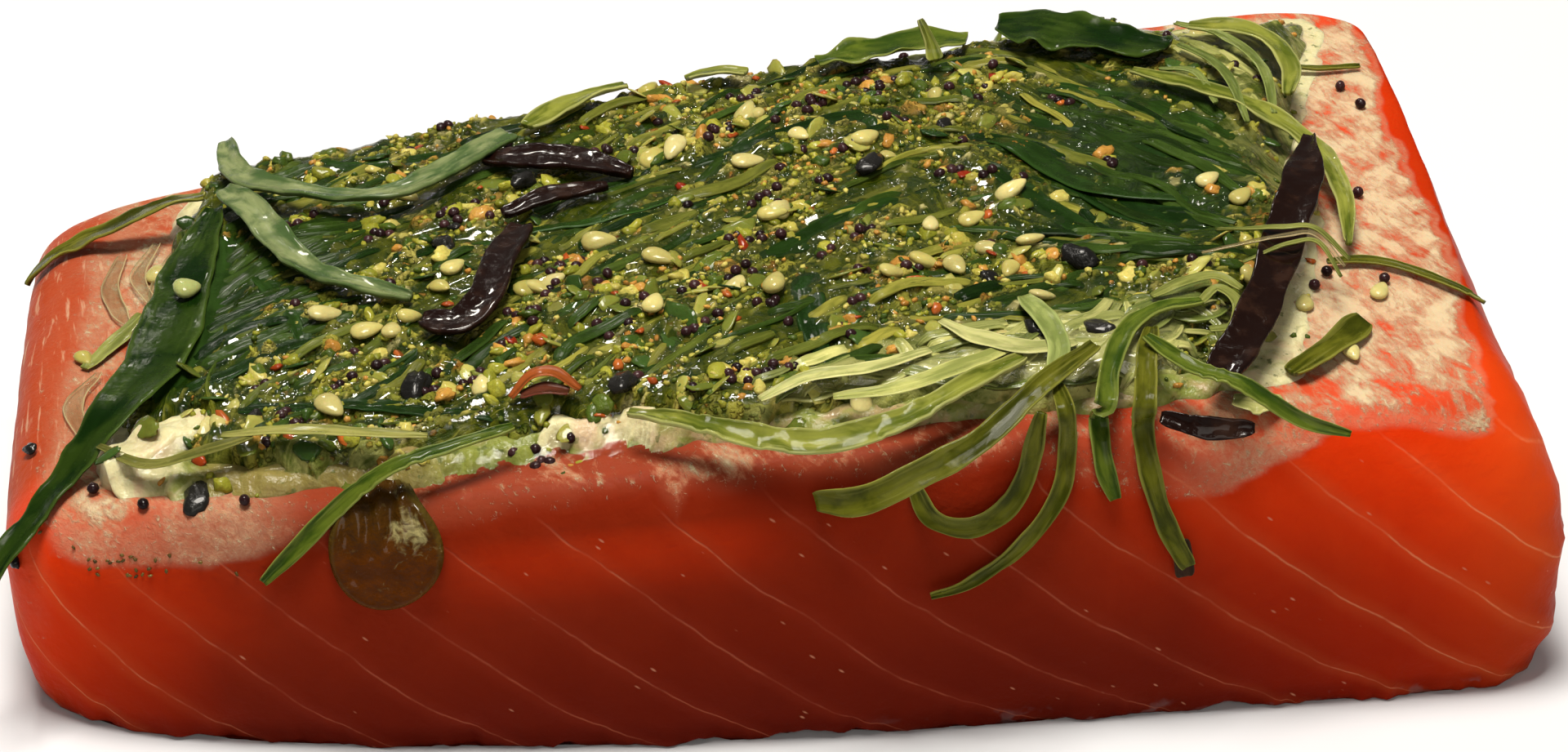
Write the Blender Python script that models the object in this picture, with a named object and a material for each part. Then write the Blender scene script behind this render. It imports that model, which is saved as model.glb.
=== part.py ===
"""A portion of smoked salmon fillet with a cream spread and a seaweed and seed salad on top.

Units in this file are millimetres until a mesh is made, where MM turns them into metres.
X runs along the long cut face, Y from the front cut face to the back one, Z up from the
table. The origin is under the middle of the whole portion, on the table.
"""

import bpy
import bmesh
from math import asin, atan2, ceil, cos, exp, floor, hypot, pi, sin
from mathutils import Vector, noise
from mathutils.bvhtree import BVHTree
from random import Random

MM = 0.001

# The four upright corners of the fillet at its widest level, seen from above.
FRONT_LEFT = (-64.6, -31.2)
FRONT_RIGHT = (66.4, -26.9)
BACK_RIGHT = (53.2, 42.6)
BACK_LEFT = (-68.8, 26.8)
FRONT_BOW = 5.0
FRONT_BOW_SKEW = 0.75
BACK_BOW = 1.6
RIGHT_BOW = 0.8
CORNER_POWER = 22
HALF_LENGTH = 64.0
HALF_WIDTH = 33.0

# How far the top rim and the foot lie inside the widest line: each side's value at its front
# or left end, then at its back or right end.
TOP_INSET = {"left": (7.4, 7.6), "right": (7.2, 1.2), "front": (4.6, 4.6), "back": (4.0, 2.6)}
FOOT_INSET = {"left": (3.2, 4.2), "right": (3.2, 3.2), "front": (1.2, 1.2), "back": (3.4, 3.4)}

# How high the widest line lies, as a share of the height, and how square the side is above
# and below it.
WIDEST_SHARE = {"left": 0.74, "right": 0.48, "front": 0.35, "back": 0.5}
SHOULDER_POWER = {"left": 2.0, "right": 1.2, "front": 2.4, "back": 2.3}
FOOT_POWER = {"left": 1.7, "right": 2.8, "front": 2.1, "back": 2.1}

# Thickness of the flesh: it thins towards the belly end, at the left.
FRONT_HEIGHT = 26.3
FRONT_FALL = 6.8
FRONT_FALL_FROM = 25.0
BACK_HEIGHT = 30.0
BACK_FALL = 15.2
BACK_FALL_FROM = 45.0
CROWN = 2.0

GAP = 0.3
CREAM_THICKNESS = 0.8
SALAD_THICKNESS = 1.7
SALAD_RIM = 1.4
SALAD_BUMP = 0.35
STRIP_RISE = 1.0

# How far the cream and the salad stop inside the top rim: each side's value at its front or
# left end, then at its back or right end.
CREAM_MARGIN = {"left": (0.2, 7.0), "right": (17.5, 4.0), "front": (0.6, 1.4), "back": (1.0, 1.0)}
SALAD_MARGIN = {"left": (1.6, 9.0), "right": (20.0, 5.0), "front": (2.4, 2.6), "back": (1.2, 2.6)}

# The whole portion's middle, measured on the finished nodes, is moved to the origin.
MIDDLE = (-1.45, 2.59)

SALMON = ("salmon_flesh", (0.42, 0.035, 0.006), 0.38)
CREAM = ("cream_cheese", (0.72, 0.66, 0.42), 0.45)
SALAD = ("seaweed_salad", (0.10, 0.13, 0.02), 0.25)
WAKAME = ("wakame_strip", (0.06, 0.16, 0.03), 0.2)
PALE_WAKAME = ("wakame_stem", (0.24, 0.36, 0.08), 0.2)
WOOD_EAR = ("wood_ear_mushroom", (0.03, 0.012, 0.012), 0.3)


def clear_scene():
    for obj in list(bpy.data.objects):
        bpy.data.objects.remove(obj)


def material(named):
    name, colour, roughness = named
    made = bpy.data.materials.get(name)
    if made is None:
        made = bpy.data.materials.new(name)
        made.use_nodes = True
        shader = made.node_tree.nodes["Principled BSDF"]
        shader.inputs["Base Color"].default_value = (*colour, 1)
        shader.inputs["Roughness"].default_value = roughness
        shader.inputs["Metallic"].default_value = 0
    return made


def mesh_object(name, points, faces, finish):
    """An object from points in millimetres, set so that the portion's middle is the origin."""
    mesh = bpy.data.meshes.new(name)
    placed = [((x - MIDDLE[0]) * MM, (y - MIDDLE[1]) * MM, z * MM) for x, y, z in points]
    mesh.from_pydata(placed, [], faces)
    mesh.materials.append(material(finish))
    made = bpy.data.objects.new(name, mesh)
    bpy.context.scene.collection.objects.link(made)
    return made


# The fillet's form, as functions of u (left to right) and v (front to back), from -1 to 1.


def by_side(table, u, v):
    """A value that changes smoothly from one side of the fillet to the next."""
    pull = {
        "left": max(-u, 0) ** 6,
        "right": max(u, 0) ** 6,
        "front": max(-v, 0) ** 6,
        "back": max(v, 0) ** 6,
    }
    total = sum(pull.values())
    if total == 0:
        return sum(table.values()) / len(table)
    return sum(table[side] * pull[side] for side in table) / total


def round_corners(u, v):
    cut = 1 / (CORNER_POWER + 1)
    return u * (1 - cut * abs(v) ** CORNER_POWER), v * (1 - cut * abs(u) ** CORNER_POWER)


def mixed(first, last, share):
    return first + (last - first) * share


def inset(u, v, margin, share=1.0):
    """(u, v) drawn in by share of the margins."""
    left, right = (mixed(*margin[side], (1 + v) / 2) * share for side in ("left", "right"))
    front, back = (mixed(*margin[side], (1 + u) / 2) * share for side in ("front", "back"))
    along = u * (1 - (left + right) / 2 / HALF_LENGTH) + (left - right) / 2 / HALF_LENGTH
    across = v * (1 - (front + back) / 2 / HALF_WIDTH) + (front - back) / 2 / HALF_WIDTH
    return along, across


def plan(u, v):
    """Where (u, v) lies on the table."""
    a, b = (1 + u) / 2, (1 + v) / 2
    x, y = (
        (1 - a) * (1 - b) * FRONT_LEFT[i]
        + a * (1 - b) * FRONT_RIGHT[i]
        + a * b * BACK_RIGHT[i]
        + (1 - a) * b * BACK_LEFT[i]
        for i in (0, 1)
    )
    y += (1 - u * u) * (b * BACK_BOW - (1 - b) * FRONT_BOW * (1 - FRONT_BOW_SKEW * u))
    x += (1 - v * v) * a * RIGHT_BOW
    return x, y


def flesh_height(x, y):
    """Height of the flesh's top above the table."""
    across = min(max((y + 34) / 72, 0), 1)
    front = FRONT_HEIGHT - FRONT_FALL * (max(0, FRONT_FALL_FROM - x) / 85) ** 2
    back = BACK_HEIGHT - BACK_FALL * (max(0, BACK_FALL_FROM - x) / 111) ** 1.4
    wave = 0.35 * sin(x / 9 + y / 17) * sin(y / 11 - x / 31)
    return front + (back - front) * across + CROWN * 4 * across * (1 - across) + wave


def side_point(u, v, level):
    """A point on the fillet's side: level 0 is the foot, 0.5 the widest line, 1 the top rim."""
    su, sv = round_corners(u, v)
    widest = by_side(WIDEST_SHARE, u, v)
    rim_x, rim_y = plan(*inset(su, sv, TOP_INSET))
    height = flesh_height(rim_x, rim_y)
    if level >= 0.5:
        turn = (level - 0.5) * pi
        power = 2 / by_side(SHOULDER_POWER, u, v)
        x, y = plan(*inset(su, sv, TOP_INSET, 1 - max(cos(turn), 0) ** power))
        return x, y, height * (widest + (1 - widest) * sin(turn) ** power)
    turn = (0.5 - level) * pi
    power = 2 / by_side(FOOT_POWER, u, v)
    x, y = plan(*inset(su, sv, FOOT_INSET, 1 - max(cos(turn), 0) ** power))
    return x, y, height * widest * (1 - sin(turn) ** power)


def rim_of(cells_along, cells_across):
    """The border of a grid on (u, v), once round, anticlockwise from the front left corner."""
    front = [(-1 + 2 * i / cells_along, -1.0) for i in range(cells_along)]
    right = [(1.0, -1 + 2 * i / cells_across) for i in range(cells_across)]
    back = [(-u, 1.0) for u, _ in front]
    left = [(-1.0, -v) for _, v in right]
    return front + right + back + left


def grid_faces(cells_along, cells_across, start=0):
    row = cells_along + 1
    return [
        (start + j * row + i, start + j * row + i + 1, start + (j + 1) * row + i + 1, start + (j + 1) * row + i)
        for j in range(cells_across)
        for i in range(cells_along)
    ]


def grid_rim(cells_along, cells_across):
    """Indices of a grid's border points, in the order of rim_of."""
    row = cells_along + 1
    last = cells_across * row
    front = [i for i in range(cells_along)]
    right = [cells_along + j * row for j in range(cells_across)]
    back = [last + cells_along - i for i in range(cells_along)]
    left = [last - j * row for j in range(cells_across)]
    return front + right + back + left


def grid(cells_along, cells_across):
    """The (u, v) of a grid's points, row by row from the front."""
    return [
        (-1 + 2 * i / cells_along, -1 + 2 * j / cells_across)
        for j in range(cells_across + 1)
        for i in range(cells_along + 1)
    ]


FILLET_CELLS = (34, 16)
FILLET_LEVELS = [0.08, 0.18, 0.33, 0.5, 0.64, 0.77, 0.89]


def fillet_body():
    """The flesh: a gridded top, rings down the sides, and a flat foot."""
    points = [side_point(u, v, 1) for u, v in grid(*FILLET_CELLS)]
    faces = grid_faces(*FILLET_CELLS)
    border = rim_of(*FILLET_CELLS)
    upper = grid_rim(*FILLET_CELLS)
    for level in reversed([0] + FILLET_LEVELS):
        lower = list(range(len(points), len(points) + len(border)))
        points += [side_point(u, v, level) for u, v in border]
        faces += ring_faces(upper, lower)
        upper = lower
    faces.append(list(reversed(upper)))
    return mesh_object("salmon_fillet", points, faces, SALMON)


def ring_faces(upper, lower):
    """Quads between two rings that run anticlockwise, the upper one above."""
    count = len(upper)
    return [(upper[k], lower[k], lower[(k + 1) % count], upper[(k + 1) % count]) for k in range(count)]


# The cream and the salad lie on the flesh as blankets with an uneven edge.


def ragged(margin, u, v, reach, size, seed):
    """The margins at (u, v), where the blanket's edge wanders in and out by reach millimetres."""
    wander = reach * noise.noise(Vector((u * HALF_LENGTH / size, v * HALF_WIDTH / size, seed)))
    return {side: (first + wander, last + wander) for side, (first, last) in margin.items()}


def blanket(name, cells, margin, reach, size, seed, bottom, top, finish):
    """A closed sheet between two heights over the fillet's top, inside a wandering margin."""
    low, high = [], []
    for u, v in grid(*cells):
        edge = ragged(margin, u, v, reach, size, seed)
        x, y = plan(*inset(*inset(*round_corners(u, v), edge), TOP_INSET))
        to_edge = min((1 - abs(u)) * HALF_LENGTH, (1 - abs(v)) * HALF_WIDTH)
        low.append((x, y, bottom(x, y)))
        high.append((x, y, top(x, y, to_edge)))
    count = len(low)
    faces = [tuple(reversed(face)) for face in grid_faces(*cells)]
    faces += grid_faces(*cells, start=count)
    rim = grid_rim(*cells)
    faces += ring_faces([k + count for k in rim], rim)
    return mesh_object(name, low + high, faces, finish)


def rounded_rise(to_edge, run):
    """From 0 at a blanket's edge to 1 at run millimetres inside it."""
    t = min(to_edge / run, 1)
    return (1 - (1 - t) ** 2) ** 0.5


def cream_top(x, y, to_edge):
    return flesh_height(x, y) + GAP + 0.3 + (CREAM_THICKNESS - 0.3) * rounded_rise(to_edge, 3)


def salad_bottom(x, y):
    return flesh_height(x, y) + GAP + CREAM_THICKNESS + GAP


def salad_lumps(x, y):
    """The heap's own ups and downs, drawn out along the strips' flow."""
    return SALAD_BUMP * 1.6 * noise.noise(Vector((x / 13, y / 8, 3.1)))


def salad_top(x, y, to_edge):
    rise = rounded_rise(to_edge, 4)
    return salad_bottom(x, y) + SALAD_RIM + (SALAD_THICKNESS - SALAD_RIM + salad_lumps(x, y)) * rise


def cream_spread():
    bottom = lambda x, y: flesh_height(x, y) + GAP
    return blanket("cream_spread", (20, 10), CREAM_MARGIN, 2.6, 14, 1.5, bottom, cream_top, CREAM)


def salad_core():
    return blanket("seaweed_salad", (34, 18), SALAD_MARGIN, 3.4, 16, 4.2, salad_bottom, salad_top, SALAD)


# Strips: a flat closed ribbon along a smooth line.


def smooth_line(knots, count):
    """count points, evenly spaced by knot, on a Catmull-Rom curve through the knots."""
    knots = [Vector(knot) for knot in knots]
    ends = [2 * knots[0] - knots[1], *knots, 2 * knots[-1] - knots[-2]]
    line = []
    for k in range(count):
        at = k / (count - 1) * (len(knots) - 1)
        i = min(floor(at), len(knots) - 2)
        t = at - i
        a, b, c, d = ends[i : i + 4]
        line.append(
            0.5 * (2 * b + (c - a) * t + (2 * a - 5 * b + 4 * c - d) * t * t + (3 * b - a - 3 * c + d) * t ** 3)
        )
    return line


# A ribbon's cross-section, as shares of half its width and of its thickness.
BROAD_WIDTH = 3.0
BROAD_SECTION = [(-1, 0), (-0.45, -0.5), (0.45, -0.5), (1, 0), (0.45, 0.5), (-0.45, 0.5)]
NARROW_SECTION = [(-1, 0), (0, -0.5), (1, 0), (0, 0.5)]


def ribbon_mesh(line, up, width, thickness, taper=0.5):
    """Points and faces of a ribbon; up gives the way it faces at each point."""
    sides = BROAD_SECTION if width >= BROAD_WIDTH else NARROW_SECTION
    points, faces = [], []
    last = len(line) - 1
    for k, centre in enumerate(line):
        along = (line[min(k + 1, last)] - line[max(k - 1, 0)]).normalized()
        face_up = (up[k] - along * up[k].dot(along)).normalized()
        across = along.cross(face_up)
        ends = min(k, last - k) / last
        half = width / 2 * (taper + (1 - taper) * min(ends * 5, 1) ** 0.5)
        points += [tuple(centre + across * (half * a) + face_up * (thickness * b)) for a, b in sides]
    n = len(sides)
    for k in range(last):
        faces += [(k * n + i, (k + 1) * n + i, (k + 1) * n + (i + 1) % n, k * n + (i + 1) % n) for i in range(n)]
    faces.append(tuple(range(n)))
    faces.append(tuple(reversed(range(last * n, last * n + n))))
    return points, faces


def outward(name, points, faces, finish):
    """An object whose faces all point out, whatever way its rings run."""
    made = mesh_object(name, points, faces, finish)
    work = bmesh.new()
    work.from_mesh(made.data)
    bmesh.ops.recalc_face_normals(work, faces=work.faces)
    if work.calc_volume(signed=True) < 0:
        bmesh.ops.reverse_faces(work, faces=work.faces)
    work.to_mesh(made.data)
    work.free()
    return made


UP = Vector((0, 0, 1))


def bare(x, y, lift=0.9):
    """A knot on the uncovered flesh."""
    return Vector((x, y, flesh_height(x, y) + lift))


def over(x, y, lift=0.0):
    """A knot on top of the salad."""
    return Vector((x, y, salad_top(x, y, HALF_WIDTH) + STRIP_RISE + lift))


def at_front(x, z, off=1.0):
    """A knot off millimetres in front of the long cut face."""
    u = x / HALF_LENGTH
    level = 0.75
    for _ in range(30):
        px, _, pz = side_point(u, -1, level)
        u += (x - px) / HALF_LENGTH
        level = min(max(level + (z - pz) / 40, 0.02), 1)
    px, py, pz = side_point(u, -1, level)
    ahead = side_point(u, -1, min(level + 0.02, 1))
    behind = side_point(u, -1, level - 0.02)
    slope = Vector((0, ahead[1] - behind[1], ahead[2] - behind[2])).normalized()
    return Vector((px, py - off * slope.z, pz + off * slope.y))


def kept_clear(line, tree, need):
    """The line and the way its ribbon faces, with each point pushed at least need off the flesh."""
    moved, up = [], []
    for point in line:
        near, normal, _, _ = tree.find_nearest(point)
        away = (point - near).dot(normal)
        moved.append(near + normal * need if away < need else point)
        up.append(normal)
    return moved, up


def flesh_tree(fillet):
    points = [Vector((v.co.x / MM + MIDDLE[0], v.co.y / MM + MIDDLE[1], v.co.z / MM)) for v in fillet.data.vertices]
    return BVHTree.FromPolygons(points, [tuple(f.vertices) for f in fillet.data.polygons])


# Each strip that can be told apart in the heap or lies on its own: its knots from one end to
# the other, its width, its thickness and its finish.


def strips():
    return {
        "wakame_left_edge": (
            [over(-50.4, 12.0), over(-52.0, 1.3), over(-53.6, -9.0), over(-55.4, -18.0), (-59.2, -25.2, 21.6),
             (-63.0, -30.6, 18.8), (-65.4, -34.4, 15.6)],
            4.2, 0.8, WAKAME),
        "wakame_back_left": (
            [(-67.8, 14.6, 16.4), (-64.0, 16.2, 19.0), (-59.6, 16.0, 21.4), (-55.6, 15.4, 23.6), over(-51.8, 16.0)],
            2.8, 0.7, WAKAME),
        "wakame_curl": (
            [over(-50.0, 25.0, 1.4), over(-49.0, 18.6, 1.6), over(-44.4, 13.6, 1.2), over(-38.1, 11.2, 0.7),
             over(-32.2, 11.6, 0.4), over(-28.2, 14.6, 0.4), over(-25.4, 18.6, 0.4)],
            3.2, 0.8, WAKAME),
        "wakame_fold": (
            [over(-47.8, 9.6, 0.6), over(-45.0, 5.2, 0.5), over(-42.4, 0.4), over(-39.8, -3.4), over(-36.2, -5.6),
             over(-32.4, -7.4)],
            3.0, 0.8, PALE_WAKAME),
        "wakame_back_rib": (
            [over(-23.0, 21.0, 0.3), over(-19.0, 25.2), over(-14.4, 28.0)],
            2.6, 0.8, PALE_WAKAME),
        "wood_ear_bent": (
            [over(-22.6, 1.8), over(-24.2, -4.2), over(-25.1, -10.4), over(-27.2, -13.4), over(-30.4, -12.6)],
            3.4, 1.2, WOOD_EAR),
        "wood_ear_back": (
            [over(-25.6, 15.4), over(-21.7, 14.3), over(-17.9, 12.9), over(-14.0, 10.6)],
            3.0, 1.1, WOOD_EAR),
        "wood_ear_side": (
            [over(-22.2, 5.6), over(-19.2, 7.6), over(-16.0, 8.2)],
            1.8, 1.0, WOOD_EAR),
        "wood_ear_right": (
            [over(45.6, 7.6), over(44.2, -0.2), over(42.3, -7.4), over(40.4, -14.4), over(38.2, -20.6),
             over(36.0, -25.4)],
            3.6, 1.3, WOOD_EAR),
        "wood_ear_front": (
            [bare(31.6, -28.6, 1.2), bare(34.4, -29.4, 1.2), bare(37.6, -29.2, 1.2)],
            1.8, 1.0, WOOD_EAR),
        "wakame_leaf_back": (
            [over(19.4, 32.2, 0.2), over(22.8, 31.6, 0.2), over(26.6, 29.8), over(30.6, 27.8),
             over(34.4, 25.6)],
            6.4, 0.6, WAKAME),
        "wakame_sheet_back": (
            [over(3.0, 28.4), over(6.4, 29.4), over(10.0, 30.4), over(13.8, 30.8), over(16.6, 30.4)],
            4.2, 0.7, PALE_WAKAME),
        "wakame_sprig": (
            [over(13.6, 25.6, 0.1), over(13.2, 26.6, 1.4), over(12.2, 27.6, 4.0)],
            1.5, 0.7, PALE_WAKAME),
        "wakame_loop_back": (
            [over(-8.8, 27.4), over(-7.2, 28.4), over(-5.2, 28.4), over(-3.4, 27.4)],
            1.6, 0.7, PALE_WAKAME),
        "wakame_border": (
            [over(31.0, 21.4), over(36.8, 17.6), over(42.0, 13.6), over(47.4, 8.6, -0.6), over(49.0, 1.0, -0.8),
             over(48.8, -6.0, -0.8)],
            2.6, 0.8, PALE_WAKAME),
        "wakame_arc_back": (
            [over(36.6, 29.6), over(41.2, 28.4), over(44.0, 25.0), over(45.0, 20.2), over(44.4, 15.6)],
            1.9, 0.7, PALE_WAKAME),
        "wakame_right_thread": (
            [bare(52.0, -8.2), bare(54.4, -8.8), bare(57.4, -10.2), bare(60.0, -12.6)],
            1.1, 0.6, WAKAME),
        "wakame_right_short": (
            [bare(45.0, -21.4, 1.1), bare(47.8, -17.6), bare(50.8, -14.0)],
            2.4, 0.7, WAKAME),
        "wakame_back_thread": (
            [bare(50.0, 26.8), bare(52.2, 26.6), bare(55.0, 27.2)],
            1.0, 0.6, WAKAME),
        "wakame_hook": (
            [over(34.6, -17.0), over(30.8, -20.0), over(27.8, -24.4, 0.1), over(26.2, -29.4, -0.2),
             at_front(25.6, 27.2, 1.5), at_front(26.0, 25.0), at_front(27.0, 22.4)],
            2.2, 0.8, WAKAME),
        "wakame_tall": (
            [over(32.0, -23.4), over(30.4, -27.0, 0.1), over(29.6, -30.6, -0.6), at_front(29.4, 27.0, 1.4),
             at_front(30.0, 23.6), at_front(31.4, 19.6), at_front(33.2, 16.2)],
            2.4, 0.8, WAKAME),
        "wakame_crossing": (
            [over(35.6, -27.6, 1.0), over(38.8, -28.6, 0.9), bare(42.4, -28.4, 2.2), bare(46.0, -28.2, 1.2)],
            1.9, 0.7, WAKAME),
        "wakame_blade": (
            [over(24.0, -24.6, 1.2), over(20.4, -28.6, 1.1), (15.6, -33.0, 29.4), (10.8, -35.0, 27.2),
             (6.4, -36.0, 25.4), at_front(2.4, 23.2, 1.2)],
            2.6, 0.7, WAKAME),
        "wakame_front_rope": (
            [over(-12.6, -28.2), over(-8.0, -30.6), over(-3.0, -32.2, -0.5), over(2.2, -32.6, -0.8),
             over(6.8, -31.6, -0.4), over(11.0, -29.8, -0.1), over(14.4, -27.2)],
            2.2, 0.8, PALE_WAKAME),
        "wakame_tail": (
            [at_front(22.8, 26.2, 1.2), at_front(22.8, 23.6, 1.0), at_front(21.2, 20.6), at_front(18.4, 17.8),
             at_front(14.8, 15.6), at_front(12.0, 14.8)],
            1.5, 0.7, WAKAME),
        "wakame_ring": (
            [at_front(11.0, 22.4, 0.8), at_front(12.6, 20.8, 0.8), at_front(15.0, 20.4, 0.8),
             at_front(17.2, 21.4, 0.8), at_front(18.6, 23.4, 0.8)],
            1.9, 0.6, PALE_WAKAME),
        "wakame_front_left": (
            [over(-24.0, -30.4), over(-29.0, -31.6, -0.4), over(-34.0, -33.2, -1.4), at_front(-37.6, 21.0, 1.2),
             at_front(-40.4, 18.6), at_front(-43.0, 16.4)],
            1.7, 0.7, WAKAME),
    }


def single_strip(name, knots, width, thickness, finish, tree):
    line = smooth_line(knots, 3 * len(knots) - 2)
    line, up = kept_clear(line, tree, GAP + thickness / 2 + 0.1)
    points, faces = ribbon_mesh(line, up, width, thickness)
    return outward(name, points, faces, finish)


DISC_CENTRE = (-32.4, 19.4)
DISC_RADIUS = 4.7
DISC_THICKNESS = 0.6
DISC_OFF = 0.7


def seaweed_disc():
    """A round thin slice of seaweed stuck to the long cut face."""
    spokes, rings = 14, 2
    back, front = [], []
    for ring in range(1, rings + 1):
        for k in range(spokes):
            reach = DISC_RADIUS * ring / rings
            x = DISC_CENTRE[0] + reach * cos(2 * pi * k / spokes)
            z = DISC_CENTRE[1] + reach * sin(2 * pi * k / spokes) * 0.95
            back.append(tuple(at_front(x, z, DISC_OFF)))
            front.append(tuple(at_front(x, z, DISC_OFF + DISC_THICKNESS * (1.25 - 0.4 * ring / rings))))
    half = len(back)
    faces = []
    for side in (0, half):
        for ring in range(rings - 1):
            for k in range(spokes):
                a, b = side + ring * spokes + k, side + ring * spokes + (k + 1) % spokes
                faces.append((a, b, b + spokes, a + spokes))
        faces.append(tuple(side + k for k in range(spokes)))
    outer = (rings - 1) * spokes
    for k in range(spokes):
        a, b = outer + k, outer + (k + 1) % spokes
        faces.append((a, b, b + half, a + half))
    return outward("wakame_disc", back + front, faces, WAKAME)


# Small pieces that are fused to what they lie on.


def pip(name, centre, size, turn, finish):
    """A seed with few sides: size is its half length, half width and half height."""
    around, levels = 5, (-0.55, 0.55)
    points = [(-1, 0, 0)]
    for level in levels:
        ring = (1 - level * level) ** 0.5
        points += [(level, ring * cos(2 * pi * k / around), ring * sin(2 * pi * k / around)) for k in range(around)]
    points.append((1, 0, 0))
    tip = len(points) - 1
    faces = [(0, 1 + (k + 1) % around, 1 + k) for k in range(around)]
    for k in range(around):
        a, b = 1 + k, 1 + (k + 1) % around
        faces += [(a, b, b + around), (a, b + around, a + around)]
    faces += [(tip, 1 + around + k, 1 + around + (k + 1) % around) for k in range(around)]
    length, width, height = size
    placed = []
    for x, y, z in points:
        blunt = 1 + 0.25 * x
        px, py = x * length, y * width * blunt
        placed.append((
            centre[0] + px * cos(turn) - py * sin(turn),
            centre[1] + px * sin(turn) + py * cos(turn),
            centre[2] + z * height * blunt,
        ))
    return outward(name, placed, faces, finish)


def fuse(core, pieces):
    """Joins the pieces to the core with one union, and keeps the one outer body."""
    group = bpy.data.collections.new(core.name + "_pieces")
    bpy.context.scene.collection.children.link(group)
    for piece in pieces:
        bpy.context.scene.collection.objects.unlink(piece)
        group.objects.link(piece)
    join = core.modifiers.new("join", "BOOLEAN")
    join.operation = "UNION"
    join.solver = "MANIFOLD"
    join.operand_type = "COLLECTION"
    join.collection = group
    graph = bpy.context.evaluated_depsgraph_get()
    joined = bpy.data.meshes.new_from_object(core.evaluated_get(graph))
    core.modifiers.clear()
    core.data = joined
    for piece in pieces:
        bpy.data.objects.remove(piece)
    bpy.data.collections.remove(group)
    keep_largest(joined)


def keep_largest(mesh):
    """Drops loose scraps, and the skins of hollows that the join has sealed."""
    work = bmesh.new()
    work.from_mesh(mesh)
    seen, groups = set(), []
    for start in work.verts:
        if start in seen:
            continue
        seen.add(start)
        group, queue = [], [start]
        while queue:
            at = queue.pop()
            group.append(at)
            for edge in at.link_edges:
                other = edge.other_vert(at)
                if other not in seen:
                    seen.add(other)
                    queue.append(other)
        groups.append(group)
    groups.sort(key=len)
    for group in groups[:-1]:
        bmesh.ops.delete(work, geom=group, context="VERTS")
    work.to_mesh(mesh)
    work.free()


STRAND_SEED = 11
STRAND_ROWS = 4
STRANDS_A_ROW = 6
STRAND_THICKNESS = 0.9
SESAME_SEED = 5
SESAME_SPACING = 8.8
SESAME_SIZE = (1.6, 1.0, 0.62)


def near_strip(x, y, lines, clear):
    return any(hypot(p.x - x, p.y - y) < clear for line in lines for p in line)


def salad_strands(lines):
    """Seaweed strips half sunk in the heap, where no strip lies on it."""
    draw = Random(STRAND_SEED)
    made = []
    for row in range(STRAND_ROWS):
        for step in range(STRANDS_A_ROW):
            x = -42 + 78 * (step + 0.5) / STRANDS_A_ROW + draw.uniform(-3, 3)
            y = -20 + 44 * (row + 0.5) / STRAND_ROWS + draw.uniform(-2.5, 2.5)
            turn = 0.25 * sin(x / 20) + draw.uniform(-0.5, 0.5)
            bend = draw.uniform(-0.5, 0.5)
            reach = draw.uniform(6, 10)
            knots = []
            for t in (-1, -0.33, 0.33, 1):
                px = x + reach * t * cos(turn + bend * t)
                py = y + reach * t * sin(turn + bend * t)
                knots.append((px, py, salad_top(px, py, HALF_WIDTH) - 0.1))
            line = smooth_line(knots, 6)
            if any(near_strip(point.x, point.y, lines, 4.2) for point in line):
                continue
            points, faces = ribbon_mesh(line, [UP] * len(line), draw.uniform(1.8, 2.9), STRAND_THICKNESS)
            made.append(outward(f"strand_{row}_{step}", points, faces, SALAD))
    return made


def salad_seeds(lines):
    """Sesame seeds over the heap, clear of the strips that lie on it."""
    draw = Random(SESAME_SEED)
    made = []
    for row in range(ceil(50 / SESAME_SPACING)):
        for step in range(ceil(92 / SESAME_SPACING)):
            x = -50 + (step + 0.5 * (row % 2)) * SESAME_SPACING + draw.uniform(-2, 2)
            y = -22 + row * SESAME_SPACING + draw.uniform(-2, 2)
            turn = draw.uniform(0, pi)
            if near_strip(x, y, lines, 3.8):
                continue
            centre = (x, y, salad_top(x, y, HALF_WIDTH) + 0.3)
            made.append(pip(f"sesame_{row}_{step}", centre, SESAME_SIZE, turn, SALAD))
    return made


LOOSE_SEEDS = {
    "black_seed": ((1.4, 0.9, 0.6), [(54.0, 4.6), (54.6, -13.4), (53.2, 20.0), (-60.0, 3.0), (-59.8, -10.4)]),
    "sesame": ((1.6, 1.0, 0.6), [(49.8, -21.4), (56.4, -4.8), (-60.6, 8.2), (-60.8, -2.6)]),
}


def loose_seeds():
    """The few seeds that lie on the uncovered flesh at both ends."""
    made = []
    for name, (size, places) in LOOSE_SEEDS.items():
        for k, (x, y) in enumerate(places):
            centre = (x, y, flesh_height(x, y) + 0.1)
            made.append(pip(f"{name}_{k}", centre, size, 0.8 * k, SALMON))
    return made


def main():
    clear_scene()
    fillet = fillet_body()
    tree = flesh_tree(fillet)
    table = strips()
    for name, (knots, width, thickness, finish) in table.items():
        single_strip(name, knots, width, thickness, finish, tree)
    seaweed_disc()
    cream_spread()
    salad = salad_core()
    lines = [smooth_line(knots, 6 * len(knots)) for knots, _, _, _ in table.values()]
    fuse(salad, salad_strands(lines) + salad_seeds(lines))
    fuse(fillet, loose_seeds())


main()
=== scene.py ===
"""A portion of smoked salmon fillet under cream, seaweed salad, seeds and wood ear mushroom.

Lengths are in millimetres, as in a kitchen drawing of the portion, until a mesh is made.
"""

import bpy
import numpy as np
from math import ceil, cos, floor, hypot, pi, radians, sin
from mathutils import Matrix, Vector, noise
from mathutils.bvhtree import BVHTree
from mathutils.kdtree import KDTree
from random import Random


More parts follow.
